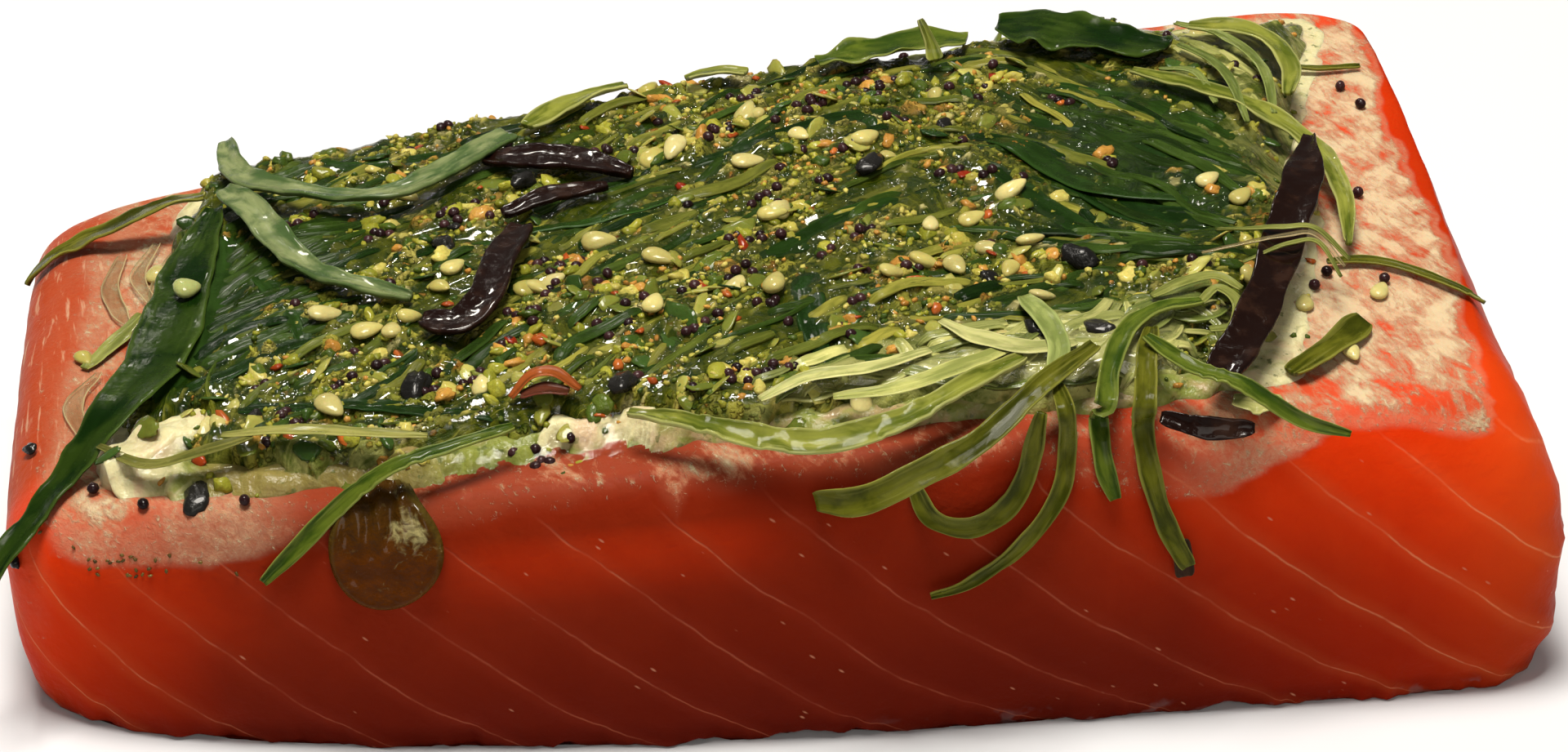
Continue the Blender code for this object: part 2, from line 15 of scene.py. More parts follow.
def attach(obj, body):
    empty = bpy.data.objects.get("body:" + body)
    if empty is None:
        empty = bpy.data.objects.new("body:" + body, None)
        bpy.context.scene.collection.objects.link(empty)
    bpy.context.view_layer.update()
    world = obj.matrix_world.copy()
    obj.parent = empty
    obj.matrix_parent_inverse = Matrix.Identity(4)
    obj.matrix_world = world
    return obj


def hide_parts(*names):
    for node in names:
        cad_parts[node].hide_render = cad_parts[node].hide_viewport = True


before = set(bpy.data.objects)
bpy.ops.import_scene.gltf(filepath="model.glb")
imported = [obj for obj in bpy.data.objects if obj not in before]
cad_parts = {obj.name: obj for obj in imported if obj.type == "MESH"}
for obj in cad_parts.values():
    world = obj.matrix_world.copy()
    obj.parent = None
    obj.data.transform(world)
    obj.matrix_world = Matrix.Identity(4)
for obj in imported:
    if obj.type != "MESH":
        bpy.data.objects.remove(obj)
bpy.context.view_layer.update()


# The table. A plain pale matt top that the portion lies on, with a faint mottle so that it
# isn't one flat tone.

TABLE_REACH = 900
TABLE_TONE = (0.76, 0.785, 0.83)


def sign(operation, turned=False):
    """A sign or a method of Python's that adds a Math node."""
    if turned:
        return lambda self, other: self.sum_of(operation, other, self)
    return lambda self, other=0.0: self.sum_of(operation, self, other)


class Tone:
    """A value in a material's nodes, with the usual signs for maths."""

    def __init__(self, tree, socket):
        self.tree, self.socket = tree, socket

    def sum_of(self, operation, first, second):
        node = self.tree.nodes.new("ShaderNodeMath")
        node.operation = operation
        for socket, value in zip(node.inputs, (first, second)):
            if isinstance(value, Tone):
                self.tree.links.new(value.socket, socket)
            else:
                socket.default_value = value
        return Tone(self.tree, node.outputs[0])

    __add__ = __radd__ = sign("ADD")
    __mul__ = __rmul__ = sign("MULTIPLY")
    __sub__ = sign("SUBTRACT")
    __rsub__ = sign("SUBTRACT", turned=True)
    __truediv__ = sign("DIVIDE")
    __pow__ = sign("POWER")
    size = sign("ABSOLUTE")
    part = sign("FRACT")
    least = sign("MINIMUM")
    most = sign("MAXIMUM")


class Finish:
    """A material: its shader, and the one way in which other nodes are added to it."""

    def __init__(self, name, **constants):
        self.material = bpy.data.materials.new(name)
        self.material.use_nodes = True
        self.tree = self.material.node_tree
        self.shader = self.tree.nodes["Principled BSDF"]
        for socket, value in constants.items():
            self.shader.inputs[socket.replace("_", " ")].default_value = value

    def node(self, kind, settings=None, output=0, **values):
        """A node's output, after its settings and then its sockets' values are set."""
        made = self.tree.nodes.new("ShaderNode" + kind)
        for setting, value in (settings or {}).items():
            if setting == "stops":
                stops = made.color_ramp.elements
                for k, (place, colour) in enumerate(value):
                    stop = stops[k] if k < 2 else stops.new(place)
                    stop.position = place
                    stop.color = (*colour, 1)
            elif setting == "ramp":
                made.color_ramp.interpolation = value
            else:
                setattr(made, setting, value)
        for name, value in values.items():
            socket = made.inputs[int(name[1:])] if name[1:].isdigit() else made.inputs[name.replace("_", " ")]
            if isinstance(value, Tone):
                self.tree.links.new(value.socket, socket)
            elif isinstance(value, tuple) and socket.type == "RGBA":
                socket.default_value = (*value, 1)
            else:
                socket.default_value = value
        return Tone(self.tree, made.outputs[output])

    def place(self):
        """Where a point of the surface is, in the drawing's millimetres."""
        metres = self.node("TexCoord", output=3)
        scaled = self.node("VectorMath", {"operation": "SCALE"}, s0=metres, Scale=1000.0)
        return self.node("VectorMath", {"operation": "ADD"}, s0=scaled, s1=(*MIDDLE, 0))

    def grain(self, size, detail=3.0, rough=0.55, place=None, bend=0.0, output=0):
        """Noise whose lumps are about size millimetres across."""
        return self.node(
            "TexNoise", {"noise_dimensions": "3D"}, output=output, Vector=place or self.place(),
            Scale=1 / size, Detail=detail, Roughness=rough, Distortion=bend,
        )

    def streaks(self, turn, size, stretch, detail=4.0, rough=0.6, bend=0.6):
        """Noise drawn out along turn, an angle in the plan."""
        return self.grain(size, detail, rough, self.drawn_out((0, 0, turn), stretch), bend)

    def drawn_out(self, rotation, stretch):
        """The surface's places, turned, and stretched along what is then the first axis."""
        settings = {"vector_type": "TEXTURE"}
        return self.node("Mapping", settings, Vector=self.place(), Rotation=rotation, Scale=(stretch, 1, 1))

    def between(self, value, low, high):
        """0 where value is under low, 1 where it is over high, and smooth in between."""
        return self.node(
            "MapRange", {"interpolation_type": "SMOOTHSTEP"}, Value=value, s1=low, s2=high, s3=0.0, s4=1.0
        )

    def mix(self, share, first, second):
        return self.node("Mix", {"data_type": "RGBA"}, output=2, s0=share, s6=first, s7=second)

    def layers(self, tone, *coats):
        """A colour with others laid over it in turn, each by its share."""
        for share, coat in coats:
            tone = self.mix(share, tone, coat)
        return tone

    def times(self, first, second):
        """One colour seen through another."""
        settings = {"data_type": "RGBA", "blend_type": "MULTIPLY"}
        return self.node("Mix", settings, output=2, s0=1.0, s6=first, s7=second)

    def tint(self, name="tint", output=0):
        return self.node("Attribute", {"attribute_name": name}, output=output)

    def paint(self, **tones):
        for socket, tone in tones.items():
            self.tree.links.new(tone.socket, self.shader.inputs[socket.replace("_", " ")])

    def wet(self, most):
        """A clear wet skin, which shines where the surface looks up at the lamps."""
        up = self.node("SeparateXYZ", output=2, Vector=self.node("TexCoord", output=1))
        self.paint(Coat_Weight=most * self.between(up, 0.15, 0.75))

    def bump(self, height, depth, strength=1.0):
        """Low relief: height runs from 0 to 1, and depth is what 1 stands for in millimetres."""
        self.paint(Normal=self.node("Bump", Strength=strength, Distance=depth / 1000, Height=height))


MIDDLE = (-1.45, 2.59)  # the drawing's point that lies over the middle of the portion


def placed(points):
    """Points of the drawing as metres in the portion's frame."""
    return (np.asarray(points, float).reshape(-1, 3) - (*MIDDLE, 0)) * 0.001


def smooth_mesh(name, points, faces, finish, tints=None, smooth=True):
    """An object from points in millimetres, with a colour for each point if tints are given."""
    mesh = bpy.data.meshes.new(name)
    mesh.from_pydata(placed(points).tolist(), [], [tuple(face) for face in faces])
    mesh.materials.append(finish.material)
    if smooth:
        mesh.shade_smooth()
    for attribute, colours in (tints or {}).items():
        layer = mesh.color_attributes.new(attribute, "FLOAT_COLOR", "POINT")
        colours = np.asarray(colours, np.float32)
        layer.data.foreach_set("color", np.c_[colours, np.ones(len(colours), np.float32)].ravel())
    made = bpy.data.objects.new(name, mesh)
    bpy.context.scene.collection.objects.link(made)
    return made


table_finish = Finish("pale_table", Roughness=0.75)
mottle = table_finish.grain(40)
table_finish.paint(Base_Color=table_finish.mix(mottle * 0.25, TABLE_TONE, (0.72, 0.745, 0.79)))
corners = np.array([(-1, -1, 0), (1, -1, 0), (1, 1, 0), (-1, 1, 0)]) * TABLE_REACH
table_top = smooth_mesh("table_top", corners, [(0, 1, 2, 3)], table_finish, smooth=False)


# The studio. A dim room with a wide soft light overhead, a smaller one behind the portion that
# glances off the wet salad, and a weak one from the front.

VIEW_HEIGHT = 32
VIEW_DISTANCE = 440
AIM_HEIGHT = 15
LENS = 115.5

camera = bpy.data.objects.new("camera", bpy.data.cameras.new("camera"))
camera.data.lens = LENS
camera.data.sensor_width = 36
camera.data.clip_start = 0.01
rise = radians(VIEW_HEIGHT)
camera.location = placed((0, -VIEW_DISTANCE * cos(rise), AIM_HEIGHT + VIEW_DISTANCE * sin(rise)))[0]
camera.rotation_euler = (pi / 2 - rise, 0, 0)
bpy.context.scene.collection.objects.link(camera)
bpy.context.scene.camera = camera

room = bpy.data.worlds.new("room")
room.use_nodes = True
room.node_tree.nodes["Background"].inputs["Color"].default_value = (1.0, 0.97, 0.92, 1)
room.node_tree.nodes["Background"].inputs["Strength"].default_value = 0.10
bpy.context.scene.world = room
bpy.context.scene.view_settings.view_transform = "Standard"


def softbox(name, place, size, power, colour=(1, 1, 1)):
    """A square lamp at a place in millimetres, turned to the portion."""
    lamp = bpy.data.objects.new(name, bpy.data.lights.new(name, "AREA"))
    lamp.data.size = size / 1000
    lamp.data.energy = power
    lamp.data.color = colour
    lamp.location = Vector(place) / 1000
    lamp.rotation_euler = (Vector((0, 0, 0.02)) - lamp.location).to_track_quat("-Z", "Y").to_euler()
    bpy.context.scene.collection.objects.link(lamp)


WARM_WHITE = (1.0, 0.945, 0.85)
softbox("overhead_softbox", (-40, -40, 700), 240, 6.4, WARM_WHITE)
softbox("glint_lamp", (-160, 420, 380), 50, 0.45, WARM_WHITE)
softbox("front_fill", (120, -700, 420), 400, 1.1, WARM_WHITE)


# The fillet. A thick cut of smoked salmon, deep red where it is thick and orange where its ends
# are thin, the thin ends painted brighter as light shows through them, and with painted shade down
# its cut faces. Pale sheets of fat show as lines on each cut face. It lies on its skin side.

FRONT_LEFT = (-64.6, -31.2)
FRONT_RIGHT = (66.4, -26.9)
BACK_RIGHT = (53.2, 42.6)
BACK_LEFT = (-68.8, 26.8)
FRONT_BOW = 5.0
FRONT_BOW_SKEW = 0.75
BACK_BOW = 1.6
RIGHT_BOW = 0.8
CORNER_POWER = 22
HALF_LENGTH = 64.0
HALF_WIDTH = 33.0
TOP_INSET = {"left": (7.4, 7.6), "right": (7.2, 1.2), "front": (4.6, 4.6), "back": (4.0, 2.6)}
FOOT_INSET = {"left": (3.2, 4.2), "right": (3.2, 3.2), "front": (1.2, 1.2), "back": (3.4, 3.4)}
WIDEST_SHARE = {"left": 0.74, "right": 0.48, "front": 0.35, "back": 0.5}
SHOULDER_POWER = {"left": 2.0, "right": 1.2, "front": 2.4, "back": 2.3}
FOOT_POWER = {"left": 1.7, "right": 2.8, "front": 2.1, "back": 2.1}
FILLET_CELLS = (230, 126)
FILLET_RINGS = 30


def by_side(table, u, v):
    """What a table says for a side, blended towards the next side near a corner."""
    pull = {side: max(near, 0) ** 6 for side, near in zip(("left", "right", "front", "back"), (-u, u, -v, v))}
    total = sum(pull.values())
    if total == 0:
        return sum(table.values()) / len(table)
    return sum(table[side] * pull[side] for side in table) / total


def mixed(first, last, share):
    """A value between two, by its share of the last."""
    return first + (last - first) * share


def round_corners(u, v):
    """The same place, with the corners of the square drawn in."""
    cut = 1 / (CORNER_POWER + 1)
    return u * (1 - cut * abs(v) ** CORNER_POWER), v * (1 - cut * abs(u) ** CORNER_POWER)


def inset(u, v, margin, share=1.0):
    """The same place, drawn in from each side by its margin in millimetres."""
    left, right = (mixed(*margin[side], (1 + v) / 2) * share for side in ("left", "right"))
    front, back = (mixed(*margin[side], (1 + u) / 2) * share for side in ("front", "back"))
    along = u * (1 - (left + right) / 2 / HALF_LENGTH) + (left - right) / 2 / HALF_LENGTH
    across = v * (1 - (front + back) / 2 / HALF_WIDTH) + (front - back) / 2 / HALF_WIDTH
    return along, across


def plan(u, v):
    """A place in the portion's outline, from one that runs from -1 to 1 both ways."""
    a, b = (1 + u) / 2, (1 + v) / 2
    x, y = (
        (1 - a) * (1 - b) * FRONT_LEFT[i]
        + a * (1 - b) * FRONT_RIGHT[i]
        + a * b * BACK_RIGHT[i]
        + (1 - a) * b * BACK_LEFT[i]
        for i in (0, 1)
    )
    y += (1 - u * u) * (b * BACK_BOW - (1 - b) * FRONT_BOW * (1 - FRONT_BOW_SKEW * u))
    x += (1 - v * v) * a * RIGHT_BOW
    return x, y


def flesh_height(x, y):
    """How high the top of the fish is."""
    across = min(max((y + 34) / 72, 0), 1)
    front = 26.3 - 6.8 * (max(0, 25 - x) / 85) ** 2
    back = 30.0 - 15.2 * (max(0, 45 - x) / 111) ** 1.4
    wave = 0.35 * sin(x / 9 + y / 17) * sin(y / 11 - x / 31)
    return front + (back - front) * across + 8 * across * (1 - across) + wave


def side_point(u, v, level):
    """A point on the side: level 0 is the foot, 0.5 the widest line, 1 the top rim."""
    su, sv = round_corners(u, v)
    widest = by_side(WIDEST_SHARE, u, v)
    height = flesh_height(*plan(*inset(su, sv, TOP_INSET)))
    if level >= 0.5:
        turn = (level - 0.5) * pi
        power = 2 / by_side(SHOULDER_POWER, u, v)
        x, y = plan(*inset(su, sv, TOP_INSET, 1 - max(cos(turn), 0) ** power))
        return x, y, height * (widest + (1 - widest) * sin(turn) ** power)
    turn = (0.5 - level) * pi
    power = 2 / by_side(FOOT_POWER, u, v)
    x, y = plan(*inset(su, sv, FOOT_INSET, 1 - max(cos(turn), 0) ** power))
    return x, y, height * widest * (1 - sin(turn) ** power)


def grid(along, across):
    """Places from -1 to 1 both ways, row by row."""
    return [(-1 + 2 * i / along, -1 + 2 * j / across) for j in range(across + 1) for i in range(along + 1)]


def grid_faces(along, across):
    row = along + 1
    first = [j * row + i for j in range(across) for i in range(along)]
    return [(k, k + 1, k + row + 1, k + row) for k in first]


def grid_rim(along, across):
    """A grid's border points once round, anticlockwise."""
    row, last = along + 1, across * (along + 1)
    front = list(range(along))
    right = [along + j * row for j in range(across)]
    back = [last + along - i for i in range(along)]
    left = [last - j * row for j in range(across)]
    return front + right + back + left


def ring_faces(upper, lower):
    """A closed band of faces between two rings of points."""
    count = len(upper)
    return [(upper[k], lower[k], lower[(k + 1) % count], upper[(k + 1) % count]) for k in range(count)]


def wobble(x, y, z):
    """Smooth noise, from -1 to 1."""
    return noise.noise(Vector((x, y, z)))


def rough(x, y, z, size, seed=0.0):
    """Smooth noise whose lumps are about size millimetres across."""
    return wobble(x / size, y / size, z / size + seed)


def step(value, low, high):
    """Smoothly 0 under low and 1 over high, for a number or an array."""
    t = (value - low) / (high - low)
    t = np.clip(t, 0, 1) if isinstance(t, np.ndarray) else min(max(t, 0), 1)
    return t * t * (3 - 2 * t)


def fillet_points():
    """The flesh's points: a fine grid on top, then rings down to the foot."""
    uv = grid(*FILLET_CELLS)
    points = [side_point(u, v, 1) for u, v in uv]
    faces = grid_faces(*FILLET_CELLS)
    border = [uv[k] for k in grid_rim(*FILLET_CELLS)]
    upper = grid_rim(*FILLET_CELLS)
    for ring in range(FILLET_RINGS - 1, -1, -1):
        lower = list(range(len(points), len(points) + len(border)))
        points += [side_point(u, v, ring / FILLET_RINGS) for u, v in border]
        faces += ring_faces(upper, lower)
        upper = lower
    faces.append(tuple(reversed(upper)))
    return np.array(points), faces


def outward_of(points, faces):
    """The way out at each point of a closed skin."""
    mesh = bpy.data.meshes.new("skin")
    mesh.from_pydata(points.tolist(), [], faces)
    normals = np.zeros(len(points) * 3, np.float32)
    mesh.vertices.foreach_get("normal", normals)
    bpy.data.meshes.remove(mesh)
    return normals.reshape(-1, 3).astype(float)


def weathered(points, faces):
    """The same skin with the small unevenness of cut fish, and a ragged, crumbling lower edge."""
    out = outward_of(points, faces)
    moved = points.copy()
    for k, (x, y, z) in enumerate(points):
        soft = 0.22 * rough(x, y, z, 7.0) + 0.07 * rough(x, y, z, 2.2, 5.0)
        low = max(0.0, 1 - z / 4.5)
        torn = low * (0.7 * rough(x, y, 0, 4.0, 9.0) + 0.45 * rough(x, y, 0, 1.2, 2.0) - 0.15)
        end = step(x, 57, 65) * (0.5 * rough(x, y, z, 3.4, 11.0) + 0.25 * rough(x, y, z, 1.2, 3.0))
        moved[k] += out[k] * (soft + (torn + end) * (z > 0.05) - 0.1)
        if z < 2.0:
            lifted = 1.5 * max(0.0, rough(x, y, 0, 5.0, 13.0) + 0.4 * rough(x, y, 0, 1.6, 1.0) - 0.12)
            moved[k][2] = mixed(min(lifted, 1.2), moved[k][2], z / 2.0)
    moved[:, 2] = np.maximum(moved[:, 2], 0)
    return moved


# The lowest line that the cream film reaches on the long cut face: along the portion, and up it.
FILM_EDGE = [
    (-60.4, 16.6), (-54, 17.2), (-47, 17.7), (-42, 19.5), (-37, 20.2), (-30.5, 21.1), (-25, 21.8),
    (-21, 23.1), (-15, 23.6), (-10.6, 24.3), (-8.6, 21.9), (-7.6, 24), (0, 24.7), (9, 24.3), (19, 25.4),
    (24.6, 22.9), (32, 21.6), (36, 22), (40, 24.1), (42.8, 25.2), (45.5, 26.7), (49.5, 26.9), (55, 25.5),
    (60.3, 24),
]


def fillet_zones(points):
    """Two colours for each point of the flesh.

    The first says how orange it is, partly as painted light through the thin ends, how much cream film it
    carries, and how much painted shade it takes. The second says how plainly the fat shows there, and how far
    it is part of the left end.
    """
    x, y, z = points.T
    top = np.array([flesh_height(a, b) for a, b in zip(x, y)])
    under = top - z
    wander = np.array([noise.noise(Vector(p) / 9) for p in points])
    fray = np.array([noise.noise(Vector(p) / 2.3) for p in points])
    # Orange towards both ends: partly the flesh's own colour, partly painted light through the thin flesh.
    # glow is a painted glow in a band a few millimetres under the top of the long cut face.
    warm_right = step(x + 0.7 * (z - 12) + 5 * wander, 19, 64)
    warm_left = 1 - step(x - 0.2 * (z - 8) + 5 * wander, -70, -40)
    glow = 0.26 * step(under, 3.0, 5.0) * (1 - step(under, 5.5, 11))
    glow = glow * step(x, -30, -22) * (1 - step(x, -6, 4))
    warm = np.clip(warm_left + warm_right + glow, 0, 1)
    edge = np.interp(x, *zip(*FILM_EDGE))
    over_front = step(z - edge + 0.4 * fray + 0.5 * wander, -1.4, 1.4)
    over_back = step(2.2 - under + 0.7 * fray, -0.4, 0.9)
    above = mixed(over_front, over_back, step(y, -8, 2))
    out_right = step(56.2 - 0.109 * y - x + 1.6 * wander + 0.7 * fray, -0.5, 1.6)
    out_left = mixed(0.22, 1.0, step(x + 1.5 * wander, -62.5, -56.5))
    on_top = 1 - step(under, 0.2, 1.6)
    amount = mixed(0.51, 0.8, step(x, 28, 36) * step(z, 24, 27))
    amount = mixed(amount, 0.78 + 0.22 * step(y, -22, -14), step(x, 40, 46) * on_top)
    amount = mixed(amount, 0.86, (1 - step(x, -56, -50)) * on_top)
    amount = amount * (1 - 0.12 * step(y, 18, 30) * step(x, 38, 44))
    left_face = (1 - step(x, -62, -56)) * step(z, 2, 10)
    film = np.maximum(above * out_right * out_left * amount, 0.17 * left_face)
    left_side = (1 - step(x, -58, -50)) * step(y, -26, -20)
    right_side = step(x, 48, 57) * step(y, -27, -8)
    # Painted shade: darker down the cut faces from the top and at the foot (half as much at the far left),
    # and a painted shadow of the overhanging strips near the top in the middle. The left end and the right
    # front are made darker as well.
    dark = (step(under, 4, 24) * 0.85 + (1 - step(z, 0.2, 3.0)) * 0.35) * (1 - 0.5 * (1 - step(x, -66, -54)))
    dark += 0.22 * step(z, 12, 18) * step(x, -12, 2) * (1 - step(x, 14, 26))
    dark += 0.55 * left_side + 0.74 * right_side
    zones = np.c_[warm, np.clip(film, 0, 1), np.clip(dark, 0, 1)]
    return zones, np.c_[step(under, 1.0, 5.0), left_side, np.zeros(len(x))]


points, faces = fillet_points()
points = weathered(points, faces)

flesh = Finish("salmon_flesh", Roughness=0.36, Subsurface_Weight=0.25, Subsurface_Scale=0.0016,
               Subsurface_Radius=(1.0, 0.22, 0.1), Specular_IOR_Level=0.02)
spot = flesh.place()


def parts_of(finish, vector, count=3):
    """The first parts of a place or of a colour, one by one."""
    split = finish.node("SeparateXYZ", Vector=vector)
    return [Tone(finish.tree, split.socket.node.outputs[k]) for k in range(count)]


def channels(finish, attribute, count=3):
    """The first parts of a colour that each point carries."""
    return parts_of(finish, finish.tint(attribute, output=1), count)


def food(name, points, faces, finish, slot, tints):
    """A piece of the portion with its given finish; the slot is not used."""
    piece = smooth_mesh(name, points, faces, finish, tints)
    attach(piece, "root")
    return piece


warm, film_share, dark = channels(flesh, "zones")
fat_share, left_end = channels(flesh, "fat", 2)
east, north, height = parts_of(flesh, spot)

# The sheets of fat lean to the left as they rise, a finger's breadth apart.
FAT_SPACING = 10.1
FAT_START = -60.5
drift = (flesh.grain(16, detail=2) - 0.5) * 3.4 + (flesh.grain(3, detail=2) - 0.5) * 0.7
lean = east + (height - 12) * 1.2 - ((7 - height).most(0) ** 2) * 0.06 + (north + 33).most(0).least(5) * -0.9
curved = lean - (1 - (lean / 62) ** 2).most(0) * 2.6 + drift
row = ((curved - FAT_START) / FAT_SPACING + 20.5).part() - 0.5
off_line = row.size() * FAT_SPACING
broken = flesh.between(flesh.grain(4, detail=4), 0.38, 0.62)
line = (1 - flesh.between(off_line, 0.02, 0.24)) * (0.25 + 0.75 * broken) * fat_share
halo = (1 - flesh.between(off_line, 0.1, 2.4)) * fat_share

muscle = flesh.grain(6, detail=4, rough=0.6, bend=0.6)
deep_red = flesh.mix(muscle, (0.190, 0.0125, 0.002), (0.262, 0.0215, 0.0045))
orange = flesh.mix(muscle, (0.64, 0.024, 0.0010), (0.78, 0.050, 0.004))
body_tone = flesh.layers(
    flesh.mix(warm, deep_red, orange),
    # Brighter orange at the right end: painted light through the thin flesh.
    (flesh.between(east, 50, 66) * 0.45, (0.86, 0.12, 0.015)),
    (left_end * 0.6, (0.47, 0.085, 0.014)),
    # The painted shade.
    (dark * 0.75, flesh.mix(warm, (0.060, 0.002, 0.0006), (0.15, 0.004, 0.0008))),
    (halo * 0.10, flesh.mix(warm, (0.36, 0.045, 0.02), (0.88, 0.22, 0.06))),
    (line * 0.5, flesh.mix(warm, (0.44, 0.11, 0.055), (0.88, 0.34, 0.15))),
)

# Flecks of fat in the cut faces, drawn out along the sheets.
fleck_cells = {"Vector": flesh.drawn_out((0, radians(38), 0), 3.0), "Scale": 0.9, "Randomness": 1.0}
fleck = flesh.node("TexVoronoi", {"feature": "F1"}, **fleck_cells)
fleck_pick = flesh.node("TexVoronoi", {"feature": "F1"}, output=1, **fleck_cells)
chosen = flesh.between(flesh.node("SeparateColor", Color=fleck_pick), 0.66, 0.72)
flecks = (1 - flesh.between(fleck + 0.06 * flesh.grain(0.4), 0.07, 0.15)) * chosen * fat_share

# Close white streaks run over the left end, from front to back.
stripes = flesh.between(flesh.streaks(radians(97), 0.75, 8, detail=3, bend=0.35), 0.56, 0.70) * left_end

# Scraps of silver skin cling to the foot.
scraps = flesh.between(flesh.grain(4, bend=0.5), 0.53, 0.60) * flesh.between(east, 2, 16)
scraps = scraps * (1 - flesh.between(height + 2 * flesh.grain(1.2), 1.6, 3.0))

# The film of cream that the spread has left, drawn out into feathers: first a pink veil, then curds.
FILM_TURN = radians(-58)
feathers = flesh.streaks(FILM_TURN, 1.5, 2.8, detail=5, bend=1.2)
patches = flesh.grain(7.0, bend=1.0)
fine_film = flesh.streaks(FILM_TURN, 0.45, 1.7, rough=0.75)
cover = patches * 0.95 + feathers * 0.75 + fine_film * 0.35 + film_share * 0.62
reach = film_share + (feathers - 0.5) * 0.6 + (fine_film - 0.5) * 0.5
on_film = flesh.between(reach, 0.26, 0.44) * flesh.between(film_share, 0.03, 0.14)
firm = flesh.between(east, 40, 47)
veil = flesh.between(cover, 1.34, 1.56) * on_film
curds = (flesh.between(cover, 1.46, 1.78) * (1 - firm) + flesh.between(cover, 1.41, 1.70) * firm) * on_film
rim = flesh.between(film_share, 0.12, 0.35) * (1 - flesh.between(film_share, 0.45, 0.8))
rim = rim * (flesh.between(east, 30, 40) + 0.6 - 0.6 * flesh.between(east, -44, -38))
crumbs = flesh.between(fine_film + feathers * 0.4, 0.78, 0.92) * on_film
blush = flesh.between(film_share, 0.05, 0.9) * 0.62 * (1 - 0.4 * firm)
film = (curds + 0.7 * crumbs + rim * fine_film * (1 - 0.6 * firm)).least(1)
curdled = flesh.between(patches + fine_film * 0.5, 0.5, 0.95)
body_tone = flesh.layers(
    body_tone,
    (flecks * 0.6, (0.62, 0.26, 0.15)),
    (stripes * 0.65, (0.62, 0.38, 0.24)),
    (scraps * 0.45, (0.17, 0.105, 0.10)),
    (blush * (0.4 + 0.6 * patches), (0.42, 0.14, 0.07)),
    (veil * (0.7 - 0.1 * firm), (0.54, 0.24, 0.13)),
    (film * 0.9, flesh.mix(curdled, (0.62, 0.37, 0.22), (0.66, 0.54, 0.34))),
)

flesh.paint(Base_Color=body_tone, Roughness=0.34 + 0.2 * film + 0.1 * flesh.grain(2.0))
relief = flesh.grain(0.7, detail=4) * 0.25 + flesh.grain(4.0) * 0.35 - line * 0.15
flesh.bump(relief + film * (0.3 + 0.5 * fine_film), 0.55, 0.7)

zone_colours, fat_colours = fillet_zones(points)
fillet_colours = {"zones": zone_colours, "fat": fat_colours}
fillet = food("fillet", points, faces, flesh, "salmon_flesh", fillet_colours)
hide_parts("salmon_fillet")


# The cream. A thin spread of soft cheese that the salad is laid in. It is pressed out along the
# edges, thickest at the front left corner, and takes a green and yellow stain from the dressing.

CREAM_MARGIN = {"left": (0.2, 7.0), "right": (17.5, 4.0), "front": (0.6, 1.4), "back": (1.0, 1.0)}
GAP = 0.3
CREAM_THICKNESS = 0.8
CREAM_CELLS = (260, 150)


def ragged(margin, u, v, reach, size, seed):
    """The margins at (u, v), where an edge wanders in and out by reach millimetres."""
    wander = reach * wobble(u * HALF_LENGTH / size, v * HALF_WIDTH / size, seed)
    fine = 0.35 * reach * wobble(u * HALF_LENGTH / size * 5, v * HALF_WIDTH / size * 5, seed)
    return {side: (first + wander + fine, last + wander + fine) for side, (first, last) in margin.items()}


def rounded_rise(to_edge, run):
    """From 0 at an edge up to 1, round like a quarter of a circle."""
    t = min(to_edge / run, 1)
    return (1 - (1 - t) ** 2) ** 0.5


def blanket(cells, margin, reach, size, seed, top):
    """A sheet over the fillet's top, with a rim that turns down and goes a little into the fish."""
    points = []
    for u, v in grid(*cells):
        edge = ragged(margin, u, v, reach, size, seed)
        x, y = plan(*inset(*inset(*round_corners(u, v), edge), TOP_INSET))
        to_edge = min((1 - abs(u)) * HALF_LENGTH, (1 - abs(v)) * HALF_WIDTH)
        points.append((x, y, top(x, y, to_edge)))
    rim = grid_rim(*cells)
    start = len(points)
    points += [(points[k][0], points[k][1], flesh_height(*points[k][:2]) - 0.6) for k in rim]
    faces = grid_faces(*cells) + ring_faces(rim, list(range(start, len(points))))
    return np.array(points), faces


# Where the cream ends in front: places along the portion, and how far back the edge is there.
CREAM_FRONT = np.array([
    (-64, -22), (-60.8, -25), (-57.7, -28.5), (-50.9, -29.4), (-44, -30.3), (-37.3, -30.2),
    (-30.6, -30.6), (-24, -28.4), (-17.4, -27.2), (-10.7, -27.8), (-4, -28.8), (4, -30.5), (14, -31),
    (24, -30), (34, -27.5), (44, -24),
]).T

# Thick white patches: from, to, how far they reach aside, and how much higher they are.
CREAM_PATCHES = [
    ((-58.6, -27.6), (-49.4, -21.6), 2.8, 1.5), ((-18.4, -26.2), (-11.6, -26.6), 1.9, 0.6),
    ((27, -29.6), (31, -28.4), 1.6, 0.4), ((45, -15), (46, 4), 2.2, 0.3),
]


def patch_at(x, y):
    """How far a place is in a thick patch, from 0 to 1, and how much higher the cream is there."""
    share, higher = 0.0, 0.0
    for (ax, ay), (bx, by), reach, height in CREAM_PATCHES:
        run, climb = bx - ax, by - ay
        t = min(max(((x - ax) * run + (y - ay) * climb) / (run * run + climb * climb), 0), 1)
        apart = hypot(x - ax - t * run, y - ay - t * climb)
        if apart < reach + 1.5:
            inside = 1 - step(apart + 1.3 * rough(x, y, 0, 2.2, 12.0), 0.45 * reach, reach)
            share = max(share, inside)
            higher = max(higher, height * inside)
    return share, higher


def cream_top(x, y, to_edge):
    lump = 0.6 * rough(x, y, 0, 3.2, 4.0) + 0.3 * rough(x, y, 0, 1.5, 8.0)
    front = np.interp(x, *CREAM_FRONT) + 1.6 * wobble(x / 3.1, 0.5, 2.0)
    thin = 1 - 0.8 * step(x + 0.25 * y, 26, 40)
    rise = rounded_rise(to_edge, 2.0) * step(y - front + 1.2 * rough(x, y, 0, 1.1, 6.0), -0.6, 1.2)
    return flesh_height(x, y) - 0.25 + ((CREAM_THICKNESS + 0.6 + lump) * thin + patch_at(x, y)[1]) * rise


